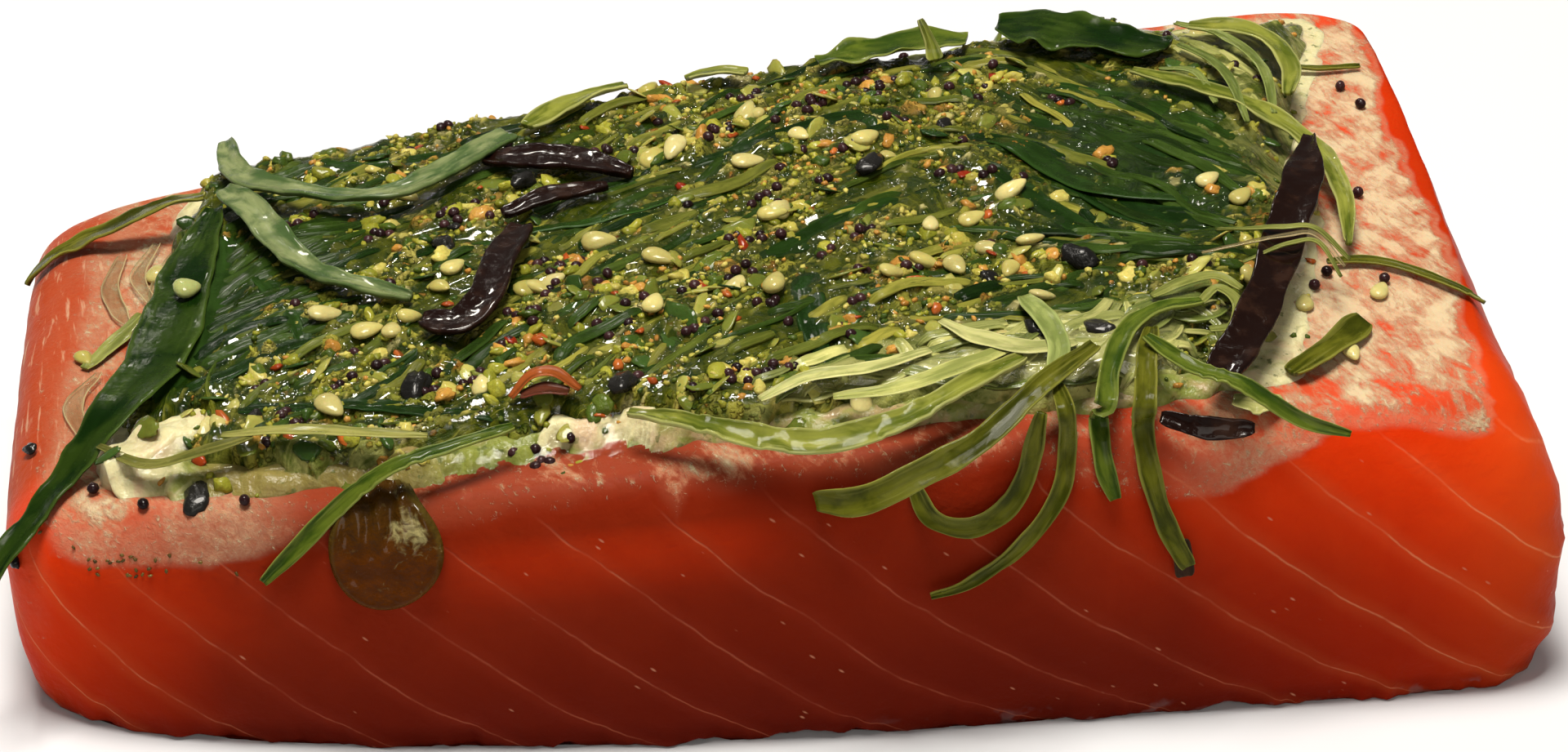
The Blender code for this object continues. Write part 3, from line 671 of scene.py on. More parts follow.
cream = Finish("cream_cheese", Roughness=0.35, Subsurface_Weight=0.35, Subsurface_Scale=0.0015,
               Subsurface_Radius=(1.0, 0.7, 0.4), Specular_IOR_Level=0.3)
east, = parts_of(cream, cream.place(), 1)
white, = channels(cream, "zones", 1)
cloudy = cream.grain(2.6, detail=4, bend=0.8)
stained = cream.between(east, -52, -48) * (1 - cream.between(east, 34, 40)) * (1 - white)
stain = cream.between(cloudy + 0.36 * stained - 0.2 * white, 0.50, 0.82)
pink = cream.grain(4.2, bend=0.5) + 0.08 * cream.between(east, -30, -24)
olive_stretch = cream.between(east, -50, -46) * (1 - cream.between(east, -31, -25)) * (1 - white)
leaf_bits = cream.between(cream.grain(0.9), 0.60, 0.66)
leaf_bits = leaf_bits * cream.between(east, -52, -47) * (1 - white)
soft_curd = cream.layers(
    (0.68, 0.62, 0.35),
    (stain, (0.23, 0.26, 0.05)),
    (cream.between(pink, 0.54, 0.74) * 0.55, (0.60, 0.36, 0.25)),
    (olive_stretch * (0.45 + 0.4 * stain), (0.25, 0.19, 0.055)),
    (leaf_bits * 0.7, (0.09, 0.12, 0.02)),
)
cream.paint(Base_Color=soft_curd)
cream.bump(cream.grain(1.1, rough=0.5), 0.35)

cream_points, cream_faces = blanket(CREAM_CELLS, CREAM_MARGIN, 2.6, 14, 1.5, cream_top)
white_share = [(patch_at(x, y)[0], 0, 0) for x, y, _ in cream_points]
spread = food("cream_layer", cream_points, cream_faces, cream, "cream_cheese", {"zones": white_share})
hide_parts("cream_spread")


# The salad's mat. Shredded seaweed and crushed spice in a thick green dressing, pressed flat. Its
# strips run from the front left to the back right, and fan out towards the right end.

SALAD_MARGIN = {"left": (1.6, 9.0), "right": (20.0, 5.0), "front": (2.4, 2.6), "back": (1.2, 2.6)}
SALAD_FOOT = GAP + CREAM_THICKNESS + GAP
SALAD_THICKNESS = 1.7
SALAD_BUMP = 0.35
MAT_CELLS = (400, 215)


def flow(x, y):
    """The way the strips run at a place, in radians from the long side."""
    back_right = float(step(x, 5, 24) * step(y, -14, 2))
    front_right = float(step(x, 0, 16) * (1 - step(y, -22, -10)))
    left = float(1 - step(x, -54, -40))
    turn = 36 - 82 * back_right - 44 * front_right + 24 * left
    return radians(turn + 26 * wobble(x / 13, y / 13, 2.0))


def with_flow(x, y):
    """How far a place is along the flow, and across it."""
    turn = flow(x, y)
    return x * cos(turn) + y * sin(turn), y * cos(turn) - x * sin(turn)


def strands(x, y, width, seed):
    """Ridges along the flow, about width millimetres apart."""
    along, across = with_flow(x, y)
    return wobble(along / width / 5, across / width, seed)


def areas(x, y):
    """How pale, how full of spice and how deep green the salad is at a place, each from 0 to 1."""
    wander = 3.0 * wobble(x / 5, y / 5, 7.0)
    a, b = x + wander, y + wander
    pale = step(a, 1, 11) * (1 - step(a, 30, 38)) * (1 - step(b, -21, -13))
    front_rim = 0.75 * (1 - step(b, -30, -25))
    right_rim = 0.8 * step(a + 0.25 * b, 39, 44)
    left_rim = 0.5 * (1 - step(a, -57, -52))
    pale = max(pale, front_rim, right_rim, left_rim)
    deep = step(a, 18, 26) * (1 - step(a, 37, 42)) * step(b, -10, -3) * (1 - step(b, 19, 26))
    deep = max(deep, 0.9 * (1 - step(a, -49, -43)) * step(b, -23, -15) * (1 - step(b, 6, 14)))
    band = 0.55 + 1.5 * strands(x, y, 3.8, 12.0) + 0.5 * rough(x, y, 0, 6, 4.0)
    spiced = min(max(band, 0), 1) * (1 - 0.85 * pale) * (1 - 0.8 * deep)
    return float(pale), float(spiced), float(deep)


def salad_core(x, y):
    """The salad's even height, without its ridges and crumbs."""
    swell = SALAD_BUMP * 1.6 * wobble(x / 13, y / 8, 3.1)
    return flesh_height(x, y) + SALAD_FOOT + SALAD_THICKNESS + swell


# Where the salad ends in front, in the same way as the cream.
MAT_FRONT = np.array([
    (-64, -15), (-58, -19), (-54, -21.5), (-50, -24.5), (-47, -28), (-44, -29.3), (-37, -29.2),
    (-31, -29.4), (-28, -28.4), (-24, -26.6), (-17, -25.5), (-10.7, -26.2), (-4, -27.9), (4, -29.6),
    (14, -30.2), (26, -29), (36, -26.5), (44, -23),
]).T

# The crumbs in the mat: their tints in the order of their share, and how many have each.
CRUMB_TINTS = [
    ((0.34, 0.33, 0.045), 0.26), ((0.56, 0.49, 0.13), 0.17), ((0.17, 0.21, 0.022), 0.22),
    ((0.5, 0.23, 0.045), 0.11), ((0.62, 0.56, 0.28), 0.06), ((0.045, 0.075, 0.01), 0.13),
    ((0.28, 0.05, 0.012), 0.05),
]
CRUMB_SIZES = ((2.3, 3.0, 0.34), (1.15, 7.0, 0.66))


def crumb_at(x, y, spiced):
    """The crumb at a place: its tint, how plainly it shows, and how far it stands up."""
    bend = Vector((rough(x, y, 0, 0.9, 1.0), rough(x, y, 0, 0.9, 5.0), 0))
    for size, seed, share in CRUMB_SIZES:
        apart, middles = noise.voronoi((Vector((x, y, 0)) + bend * 0.7) / size + Vector((0, 0, seed)))
        rim = min((apart[1] - apart[0]) / 0.4, 1)
        if (noise.cell(middles[0] * 53) + 1) / 2 < share * spiced and rim > 0.1:
            pick = (noise.cell(middles[0] * 71 + Vector((5, 3, 1))) + 1) / 2
            for tint, many in CRUMB_TINTS:
                pick -= many
                if pick <= 0:
                    break
            shown = step(rim, 0.1, 0.45)
            return tint, shown, 0.2 * size * rim ** 0.5 * shown
    return (0.1, 0.1, 0.02), 0.0, 0.0


def mat_top(x, y, to_edge):
    front = np.interp(x, *MAT_FRONT) + 1.8 * wobble(x / 2.6, 3.5, 1.0)
    inside = max(min(to_edge, y - front + 0.9 * rough(x, y, 0, 0.9, 2.0)), 0)
    rise = mixed(rounded_rise(inside, 2.6), step(inside, 0, 7), step(x, 28, 38)) * (1 - patch_at(x, y)[0])
    ridges = 0.55 * strands(x, y, 2.4, 1.0) + 0.35 * strands(x, y, 1.0, 6.0)
    hollows = 0.7 * min(0.0, rough(x, y, 0, 3.2, 9.0) + 0.15)
    stands = crumb_at(x, y, areas(x, y)[1])[2]
    uneven = ridges + hollows + 0.2 * rough(x, y, 0, 0.8, 8.0) + stands
    return mixed(flesh_height(x, y) - 0.3, salad_core(x, y) - 0.45 + uneven, rise)


mat = Finish("seaweed_mat", Roughness=0.22, Specular_IOR_Level=0.08)
pale, spiced, deep = channels(mat, "zones")
shown, along, across = channels(mat, "shown")
spot = mat.place()
shaken = mat.grain(0.9, place=spot, output=1)
shaken = mat.node("VectorMath", {"operation": "SUBTRACT"}, s0=shaken, s1=(0.5, 0.5, 0.5))
shaken = mat.node("VectorMath", {"operation": "MULTIPLY_ADD"}, s0=shaken, s1=(0.9, 0.9, 0.9), s2=spot)

# Fine grains of spice, each of a colour of its own, show through the dressing.
GRAIN_COLOURS = [
    (0.00, (0.022, 0.045, 0.006)), (0.18, (0.075, 0.105, 0.012)), (0.38, (0.20, 0.20, 0.024)),
    (0.60, (0.36, 0.34, 0.05)), (0.76, (0.54, 0.47, 0.13)), (0.86, (0.50, 0.23, 0.045)),
    (0.93, (0.26, 0.05, 0.012)), (0.96, (0.016, 0.009, 0.010)),
]
from_grain = mat.node("TexVoronoi", {"feature": "F1"}, Vector=shaken, Scale=1.6)
grain_pick = mat.node("TexVoronoi", {"feature": "F1"}, output=1, Vector=shaken, Scale=1.6)
grain_pick = mat.node("SeparateColor", Color=grain_pick)
grain_tone = mat.node("ValToRGB", {"ramp": "CONSTANT", "stops": GRAIN_COLOURS}, Fac=grain_pick)
in_grain = (1 - mat.between(from_grain, 0.25, 0.55)) * mat.between(spiced + mat.grain(2.0) * 0.6, 0.5, 0.85)

# The dressing, clouded, with fine threads of seaweed along the flow.
thread_place = mat.node("CombineXYZ", X=along * 0.16, Y=across * 1.3, Z=0.0)
threads = mat.grain(1, detail=4, rough=0.6, place=thread_place, bend=0.4)
clouds = mat.between(mat.grain(2.2, detail=4, bend=0.8) * 0.6 + threads * 0.4, 0.38, 0.62)
olive = mat.mix(clouds, (0.014, 0.028, 0.002), (0.11, 0.115, 0.008))
leafy = mat.mix(clouds, (0.005, 0.016, 0.002), (0.030, 0.060, 0.006))
milky = mat.mix(clouds, (0.10, 0.13, 0.015), (0.46, 0.46, 0.15))
gel = mat.layers(
    mat.mix(pale, mat.mix(deep, olive, leafy), milky),
    (mat.between(threads, 0.58, 0.68) * 0.5, mat.mix(deep, (0.27, 0.27, 0.04), (0.07, 0.12, 0.02))),
    (in_grain * 0.7, grain_tone),
    (shown * 0.92, mat.mix(mat.grain(0.5), mat.tint("crumb"), (0.22, 0.19, 0.03))),
)
mat.paint(Base_Color=gel, Roughness=0.12 + 0.22 * mat.grain(1.5))
mat.bump(in_grain * 0.7 + mat.grain(0.6) * 0.5 + threads * 0.5, 0.45)

mat_points, mat_faces = blanket(MAT_CELLS, SALAD_MARGIN, 3.4, 16, 4.2, mat_top)
zone_colours, crumb_colours, shown_colours = [], [], []
for x, y, _ in mat_points:
    zone_colours.append(areas(x, y))
    tint, plain, _ = crumb_at(x, y, zone_colours[-1][1])
    crumb_colours.append(tint)
    shown_colours.append((plain, *with_flow(x, y)))
mat_colours = {"zones": zone_colours, "crumb": crumb_colours, "shown": shown_colours}
salad_mat = food("salad_mat", mat_points, mat_faces, mat, "seaweed_salad", mat_colours)
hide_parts("seaweed_salad")
mat_tree = BVHTree.FromPolygons([Vector(p) for p in mat_points], mat_faces)
flesh_points, flesh_faces = fillet_points()
flesh_tree = BVHTree.FromPolygons([Vector(p) for p in flesh_points], flesh_faces)


# The loose wakame. Single strips that lie on the mat or hang over the cut face, each a wet, limp
# ribbon that is cut square at its ends. Most of them are painted paler at their edges, as light shows
# through the thin edges.

BROAD_SECTION = 16
STRIP_RISE = 1.0


def smooth_line(knots, count):
    """A smooth curve of count points, through all the knots."""
    knots = [Vector(knot) for knot in knots]
    ends = [2 * knots[0] - knots[1], *knots, 2 * knots[-1] - knots[-2]]
    line = []
    for k in range(count):
        at = k / (count - 1) * (len(knots) - 1)
        i = min(floor(at), len(knots) - 2)
        t = at - i
        a, b, c, d = ends[i : i + 4]
        even, bent = 2 * a - 5 * b + 4 * c - d, 3 * b - a - 3 * c + d
        line.append(0.5 * (2 * b + (c - a) * t + even * t * t + bent * t ** 3))
    return line


def on(surface, *places):
    """Knots on a surface, one at each place."""
    return [surface(*place) for place in places]


def bare(x, y, lift):
    """A knot over the bare fish."""
    return Vector((x, y, flesh_height(x, y) + lift))


def over(x, y, lift=0.0):
    """A knot over the salad."""
    return Vector((x, y, salad_core(x, y) + STRIP_RISE + lift))


def at_front(x, z, off):
    """A knot off millimetres in front of the long cut face."""
    u, level = x / HALF_LENGTH, 0.75
    for _ in range(30):
        px, _, pz = side_point(u, -1, level)
        u += (x - px) / HALF_LENGTH
        level = min(max(level + (z - pz) / 40, 0.02), 1)
    px, py, pz = side_point(u, -1, level)
    ahead = side_point(u, -1, min(level + 0.02, 1))
    behind = side_point(u, -1, level - 0.02)
    slope = Vector((0, ahead[1] - behind[1], ahead[2] - behind[2])).normalized()
    return Vector((px, py - off * slope.z, pz + off * slope.y))


def section(sides, cup):
    """A ribbon's cross-section: a flat strip with rounded edges, cupped by cup of its thickness."""
    ring = []
    for k in range(sides):
        turn = 2 * pi * k / sides
        a = cos(turn)
        b = sin(turn)
        flat = abs(b) ** 0.5 * (1 if b > 0 else -1)
        ring.append((a, 0.5 * flat * (1 - 0.25 * (1 - a * a)) + cup * (a * a - 0.5)))
    return ring


def ribbon(line, up, widths, thickness, cup=0.3, sides=BROAD_SECTION, taper=0.7, frill=0.0, roll=0.0,
           seed=0.0):
    """Points, faces and forms of a limp ribbon; frill ruffles its edges and roll tips it to and fro.

    A point's form is where it is across the ribbon, from -1 to 1, how far along in millimetres, and
    a number of the ribbon's own.
    """
    ring = section(sides, cup)
    last = len(line) - 1
    run = 0.0
    points, faces, forms = [], [], []
    for k, centre in enumerate(line):
        if k:
            run += (centre - line[k - 1]).length
        along = (line[min(k + 1, last)] - line[max(k - 1, 0)]).normalized()
        face_up = (up[k] - along * up[k].dot(along)).normalized()
        across = along.cross(face_up)
        tip = roll * wobble(run / 7, seed, 5.0)
        across, face_up = across * cos(tip) + face_up * sin(tip), face_up * cos(tip) - across * sin(tip)
        wide = float(np.interp(k / last, np.linspace(0, 1, len(widths)), widths)) / 2
        wide *= taper + (1 - taper) * min(min(k, last - k) / last * 9, 1) ** 0.5
        wide *= 1 + 0.14 * wobble(run / 3, seed, 1.0)
        for a, b in ring:
            ruffle = frill * a * a * wobble(run / 2.4, a * 1.5, seed)
            uneven = 0.12 * wobble(run / 1.1, a * 2.0, seed + 9)
            outward = face_up * (thickness * (b + uneven) + ruffle)
            points.append(tuple(centre + across * (wide * a) + outward))
            forms.append((a, run, seed % 7))
    for start in range(0, last * sides, sides):
        for i, after in enumerate([*range(1, sides), 0]):
            faces.append((start + after, start + sides + after, start + sides + i, start + i))
    faces.append(tuple(reversed(range(sides))))
    faces.append(tuple(range(last * sides, (last + 1) * sides)))
    return points, faces, forms


def laid_on(line, tree, need):
    """The line pushed at least need off the flesh, and the way out from the flesh at each point."""
    moved, up = [], []
    for point in line:
        near, normal, _, _ = tree.find_nearest(point)
        away = (point - near).dot(normal)
        moved.append(near + normal * need if away < need else point)
        up.append(normal)
    return moved, up


def weed(name, dark, light, rim, own_tint=False, clear=None, gloss=0.3, shine=0.05):
    """Wet seaweed: two greens in clouds along the strip, fine veins, and a rim of another green, in most
    finishes lighter: painted light through the thin edges.

    Where clear is given, the strip is see-through but for its rim.
    """
    finish = Finish(name, Coat_Roughness=0.08, Subsurface_Weight=0.15 if clear is None else 0.0,
                    Specular_IOR_Level=shine, Subsurface_Scale=0.0008, Subsurface_Radius=(0.6, 1.0, 0.3))
    finish.wet(gloss)
    across, run, own = channels(finish, "form")
    fibre_place = finish.node("CombineXYZ", X=across * 2.2, Y=run * 0.10, Z=own)
    fibres = finish.grain(1, rough=0.5, place=fibre_place)
    cloud_place = finish.node("CombineXYZ", X=across * 0.8, Y=run * 0.22, Z=own + 3)
    clouds = finish.between(finish.grain(1, place=cloud_place, bend=0.5), 0.35, 0.65)
    edge = finish.between(across.size() + (fibres - 0.5) * 0.3, 0.70, 1.0)
    tone = finish.layers(
        finish.mix(clouds, dark, light),
        (finish.between(fibres, 0.52, 0.75) * 0.3, tuple(0.45 * part for part in dark)),
        (finish.between(fibres, 0.44, 0.30) * 0.3, rim),
        # The rim, lighter in most finishes: painted light through the thin edges.
        (edge * 0.6, rim),
    )
    if clear is not None:
        finish.paint(Alpha=clear + (0.95 - clear) * edge)
    if own_tint:
        tone = finish.times(tone, finish.tint())
    finish.paint(Base_Color=tone, Roughness=0.16 + 0.2 * finish.grain(1.4))
    finish.bump((1 - across * across) * 1.6 + fibres * 0.4 + finish.grain(1.5, detail=2) * 0.6, 0.2)
    return finish


DEEP = weed("deep_wakame", (0.004, 0.016, 0.0015), (0.019, 0.040, 0.004), (0.06, 0.10, 0.015), gloss=0.12)
FRESH = weed("fresh_wakame", (0.026, 0.055, 0.004), (0.095, 0.13, 0.013), (0.28, 0.31, 0.07), gloss=0.15)
MILKY = weed("milky_wakame", (0.062, 0.108, 0.034), (0.25, 0.29, 0.125), (0.045, 0.080, 0.018))
PALE = weed("pale_wakame", (0.09, 0.12, 0.010), (0.27, 0.29, 0.045), (0.50, 0.50, 0.18), clear=0.85,
            gloss=0.18)
OLIVE = weed("olive_wakame", (0.036, 0.042, 0.003), (0.105, 0.108, 0.009), (0.27, 0.26, 0.05), gloss=0.08)

# Each loose strip: its knots, its widths from end to end, its thickness, its colour, and how much
# its edges ruffle.
loose_strips = {
    "left_edge": (
        [*on(over, (-50.4, 12, -0.4), (-51.6, 3, -0.4), (-52.2, -6, -0.5), (-53.2, -14, -0.5),
             (-56, -21, -0.6)), (-60.2, -26.6, 20.2), (-63.6, -31.4, 17.8), (-65.2, -34.2, 15.4)],
        (2.4, 4.6, 6.2, 6, 4.6, 3.2, 2.4, 1.6), 0.5, DEEP, 0.4),
    "back_left": (
        [(-67.6, 14.2, 15.6), (-64, 16.2, 18.6), (-59.6, 16, 21), (-55.6, 15.4, 23.4),
         over(-51.8, 16, -0.3)],
        (1.6, 2.6, 3, 3, 2.4), 0.5, OLIVE, 0.3),
    "curl": (
        on(over, (-50.6, 25, 0.9), (-49.4, 19, 1.2), (-47.2, 14.8, 1), (-43.4, 11.6, 0.9),
           (-38.4, 9.4, 0.8), (-34, 9.6, 0.8), (-31, 11.8, 0.7), (-27.8, 15.6, 0.5), (-24.6, 19.6, 0.4)),
        (2, 2.6, 2.7, 2.5, 2.4, 2.4, 2.6, 2.9, 3), 0.8, MILKY, 0.2),
    "fold": (
        on(over, (-49.6, 13.4, 0.8), (-47, 9, 0.9), (-44.4, 3.8, 0.6), (-41.6, -1.4, 0.3),
           (-38.8, -4.6, 0.2), (-35.4, -6.6), (-31.6, -8.4, -0.4)),
        (2.2, 2.9, 2.9, 2.6, 2.4, 2, 1.2), 0.8, MILKY, 0.2),
    "back_rib": (
        on(over, (-23, 21, 0.2), (-19, 25.2), (-14.4, 28, -0.2)),
        (2.4, 2.6, 1.8), 0.6, PALE, 0.3),
    "leaf_back": (
        on(over, (19.4, 32.2, 0.3), (22.8, 31.6, 0.4), (26.6, 29.8, 0.2), (30.6, 27.8), (34.4, 25.6)),
        (4.5, 8, 6, 5, 4), 0.4, DEEP, 1),
    "sheet_back": (
        on(over, (3, 28.4), (6.4, 29.4), (10, 30.4), (13.8, 30.8), (16.6, 30.4)),
        (2.5, 4.4, 4.8, 4.4, 3), 0.4, FRESH, 0.8),
    "sprig": (
        on(over, (13.6, 25.6, 0.1), (13.2, 26.6, 1.4), (12.2, 27.6, 3.6)),
        (1.6, 1.3, 0.7), 0.5, PALE, 0.1),
    "loop_back": (
        on(over, (-8.8, 27.4), (-7.2, 28.4), (-5.2, 28.4), (-3.4, 27.4)),
        (1.2, 1.5, 1.5, 1.2), 0.5, PALE, 0.1),
    "border": (
        on(over, (31, 21.4), (36.8, 17.6, -0.2), (42, 13.6, -0.4), (46.4, 8.6, -1.4), (48, 1, -1.9),
           (47.8, -6, -2.1)),
        (1.2, 1.8, 2, 1.9, 1.7, 0.9), 0.5, PALE, 0.4),
    "arc_back": (
        on(over, (36.6, 29.6), (41.2, 28.4), (44, 25), (45, 20.2), (44.4, 15.6)),
        (1.6, 2.2, 2.2, 2, 1.4), 0.5, PALE, 0.2),
    "right_thread": (
        on(bare, (46, -6.6, 0.7), (49.6, -6.2, 0.6), (53, -7.4, 0.6), (56.6, -9.8, 0.6),
           (58.8, -11.8, 0.5)),
        (0.8, 1, 0.9, 0.8, 0.5), 0.4, OLIVE, 0.1),
    "right_short": (
        on(bare, (41.8, -21.6, 0.8), (45, -18.6, 0.8), (48.4, -14.6, 0.7)),
        (2.2, 2.5, 2.7), 0.5, OLIVE, 0.2),
    "back_thread": (
        on(bare, (44.6, 26.8, 0.8), (48.2, 26.4, 0.6), (52, 27, 0.5)),
        (0.8, 0.8, 0.6), 0.4, OLIVE, 0.1),
    "hook": (
        [*on(over, (34.6, -16.4), (31, -17.8, 0.3), (28.2, -21, 0.4), (26.6, -25.4, 0.2),
             (26, -29.4, -0.3)), *on(at_front, (25.6, 27.2, 1.2), (26, 25, 0.7), (27, 22.2, 0.6))],
        (1.3, 1.6, 1.7, 1.8, 1.8, 1.7, 1.7, 1.4), 0.6, FRESH, 0.15),
    "tall": (
        [*on(over, (30.2, -20.4), (29.6, -24.4, 0.3), (29.2, -29.4, -0.4)),
         *on(at_front, (29.2, 26.8, 1.2), (30, 23.4, 0.7), (31.4, 19.4, 0.6), (33.2, 15.8, 0.6))],
        (1.6, 1.9, 1.9, 1.9, 1.8, 1.8, 1.7), 0.6, OLIVE, 0.15),
    "crossing": (
        [*on(over, (29.6, -22.6, 0.9), (33, -26, 0.8), (37.2, -28, 0.4)),
         *on(bare, (42, -29, 1.8), (46, -29.4, 0.9))],
        (1.2, 1.6, 1.7, 1.4, 0.8), 0.5, FRESH, 0.15),
    "blade": (
        [*on(over, (25.4, -23.6, 1), (21, -28.2, 0.9)), (16, -32.6, 29.4), (10.8, -34.8, 27.4),
         (6.4, -35.8, 25.6), at_front(2.6, 23.4, 1)],
        (1.7, 2, 2.2, 2.4, 2.5, 2.4), 0.5, OLIVE, 0.15),
    "front_rope": (
        on(over, (-12.6, -28, -0.4), (-8, -30.4, -0.2), (-3, -32, -0.7), (2.2, -32.4, -1),
           (6.8, -31.4, -0.7), (11, -29.6, -0.4), (15.4, -26.4, -0.2), (19.6, -23.4, -0.2)),
        (1, 1.7, 2.2, 2.4, 2.3, 2.1, 1.8, 1.4), 0.8, PALE, 0.25),
    "tail": (
        [*on(over, (22.2, -27.6, 0.2), (22.8, -30.6, -0.4)),
         *on(at_front, (23, 26, 1), (22.6, 23.4, 0.7), (21, 20.6, 0.6), (18.4, 17.8, 0.5),
             (14.8, 15.4, 0.5), (12, 14.6, 0.5))],
        (1.3, 1.5, 1.6, 1.5, 1.5, 1.4, 1.1, 0.6), 0.5, OLIVE, 0.15),
    "ring": (
        [*on(at_front, (10.4, 24.4, 0.9), (12, 21.6, 0.7), (15, 20.6, 0.7), (17.8, 21.8, 0.7),
             (19.6, 24.4, 0.8)), over(20.8, -30.4, -0.4)],
        (1.3, 1.7, 1.9, 1.9, 1.8, 1.5), 0.5, OLIVE, 0.2),
    "front_left": (
        [*on(over, (-22, -28.6, -0.3), (-27, -30.6, -0.5), (-32, -32.4, -0.9)),
         *on(at_front, (-36.4, 22.2, 1), (-39.6, 19.6, 0.6), (-42.4, 16.8, 0.5))],
        (1.2, 1.5, 1.6, 1.6, 1.5, 1.1), 0.5, FRESH, 0.15),
}


def lay_strip(name, knots, pace, widths, thickness, finish, slot, **shape):
    """A loose strip through its knots, with pace points from each knot to the next."""
    line, up = laid_on(smooth_line(knots, pace * (len(knots) - 1) + 1), flesh_tree, GAP + thickness / 2)
    points, faces, forms = ribbon(line, up, widths, thickness, **shape)
    return food(name, points, faces, finish, slot, {"form": forms})


for name, (knots, widths, thickness, finish, frill) in loose_strips.items():
    shape = {"frill": frill, "roll": 0.15 if max(widths) > 4 else 0.4, "seed": len(name) * 1.7}
    strip = lay_strip("strip_" + name, knots, 12, widths, thickness, finish, "wakame", **shape)
    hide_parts("wakame_" + name)


# The seaweed slice. A thin round slice of a thick stem, brown green and see-through at its rim,
# which is painted lighter, most of all along the top, as light shows through it. It has slid down and
# stuck to the cut face.

DISC_CENTRE = (-32.4, 19.4)
DISC_RADIUS = 4.7
DISC_THICKNESS = 0.6
DISC_OFF = 0.35
DISC_SPOKES = 72
DISC_RINGS = 24

back, front, disc_forms = [], [], []
for ring in range(1, DISC_RINGS + 1):
    for k in range(DISC_SPOKES):
        turn = 2 * pi * k / DISC_SPOKES
        share = ring / DISC_RINGS
        reach = DISC_RADIUS * share * (1 + 0.03 * sin(3 * turn + 1))
        x = DISC_CENTRE[0] + reach * cos(turn)
        z = DISC_CENTRE[1] + reach * sin(turn)
        swollen = 1.3 - 0.5 * share + 0.35 * step(share, 0.6, 0.85) - 0.9 * step(share, 0.9, 1.0)
        ribs = 0.22 * sin(x * 3.4 + 1.5 * wobble(x, z, 1)) * step(z, 18.5, 22) * (1 - step(share, 0.8, 1))
        pit = 0.3 * rough(x, 0, z, 1.3, 3.0) * (1 - share ** 3)
        back.append(tuple(at_front(x, z, DISC_OFF)))
        front.append(tuple(at_front(x, z, DISC_OFF + max(0.1, DISC_THICKNESS * swollen + pit + ribs))))
        curdy = step(x, DISC_CENTRE[0] + 0.2, DISC_CENTRE[0] + 1.6) * step(z, 18.6, 21.0)
        curdy = curdy * (1 - step(share, 0.75, 0.92))
        disc_forms.append((share, float(step(z, 18.2, 22.5)), float(curdy)))


def disc_ring(start, ring):
    """The points of one ring of the slice, on the side whose points begin at start."""
    return [start + ring * DISC_SPOKES + k for k in range(DISC_SPOKES)]


half = len(back)
disc_faces = []
for start in (0, half):
    sheet = [tuple(disc_ring(start, 0))]
    for ring in range(DISC_RINGS - 1):
        sheet += ring_faces(disc_ring(start, ring), disc_ring(start, ring + 1))
    disc_faces += sheet if start else [tuple(reversed(face)) for face in sheet]
outer = disc_ring(0, DISC_RINGS - 1)
disc_faces += [(a, b, b + half, a + half) for a, b in zip(outer, outer[1:] + outer[:1])]

slice_finish = Finish("seaweed_slice", Roughness=0.15, Coat_Roughness=0.03, Specular_IOR_Level=0.04)
slice_finish.wet(0.45)
share, upper, curdy = channels(slice_finish, "form")
veil = slice_finish.between(slice_finish.grain(1.3, detail=4, bend=0.8) + 0.3 * curdy, 0.62, 0.90)
stem = slice_finish.grain(1.6)
# A lighter rim, strongest along the top: painted light through the thin see-through edge.
rim_light_share = slice_finish.between(share, 0.86, 0.95) * (0.3 + 0.7 * upper)
slice_tone = slice_finish.layers(
    slice_finish.mix(stem, (0.034, 0.009, 0.0010), (0.115, 0.029, 0.002)),
    (rim_light_share, slice_finish.mix(stem, (0.07, 0.035, 0.005), (0.13, 0.085, 0.015))),
    (upper * 0.45, (0.030, 0.026, 0.003)),
    (veil, (0.36, 0.31, 0.13)),
)
slice_finish.paint(Base_Color=slice_tone)
slice_finish.bump(slice_finish.grain(0.7), 0.3)
slice_forms = {"form": disc_forms * 2}
slice_piece = food("seaweed_slice", back + front, disc_faces, slice_finish, "wakame", slice_forms)
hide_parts("wakame_disc")


# The wood ear. Thin strips of a dark jelly mushroom, purple brown, rubbery and wet, with a fine
# wrinkled skin and rolled edges.

wood_ear = Finish("wood_ear_mushroom", Roughness=0.2, Coat_Roughness=0.06, Specular_IOR_Level=0.06)
wood_ear.wet(0.4)
wrinkle = wood_ear.grain(1.1, detail=4, rough=0.6, bend=0.8)
bloom = wood_ear.between(wood_ear.grain(2.2, detail=4), 0.48, 0.70)
wood_ear.paint(
    Base_Color=wood_ear.mix(bloom, (0.009, 0.0032, 0.0022), (0.023, 0.009, 0.005)),
    Roughness=0.16 + 0.2 * bloom,
)
wood_ear.bump(wrinkle, 0.14)

mushroom_strips = {
    "bent": (
        on(over, (-22.6, 1.8, 0.1), (-24.2, -4.2, 0.2), (-25.1, -10.4, 0.1), (-27.2, -13.4),
           (-30.4, -12.6, -0.1)),
        (3.4, 3.2, 3, 3.6, 2.6), 0.9),
    "back": (
        on(over, (-26.6, 15.8, -0.1), (-21.7, 14.3, 0.2), (-17.9, 12.9, 0.2), (-13.4, 10.2, -0.3)),
        (2.6, 3.4, 3.2, 1.6), 0.9),
    "side": (on(over, (-24.4, 4.8, -0.1), (-20.6, 6.6, 0.1), (-15.4, 8, -0.3)), (2, 2.2, 1.4), 0.8),
    "right": (
        on(over, (45.6, 8.2, -0.1), (44.2, -0.2, 0.2), (42.3, -7.4, 0.2), (40.4, -14.4, 0.2),
           (38.2, -20.6, 0.1), (35.6, -26, -0.2)),
        (1.8, 3.6, 3.6, 3.5, 3.6, 4.2), 1),
    "front": (on(bare, (30.6, -28.2, 1.4), (34.4, -29.2, 1.1), (38.2, -29, 0.9)), (1.4, 2, 1.2), 0.8),
}
for name, (knots, widths, thickness) in mushroom_strips.items():
    shape = {"cup": 0.35, "sides": 24, "frill": 0.2, "taper": 0.6, "roll": 0.4, "seed": len(name) * 2.3}
    strip = lay_strip("mushroom_" + name, knots, 16, widths, thickness, wood_ear, "wood_ear", **shape)
    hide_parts("wood_ear_" + name)


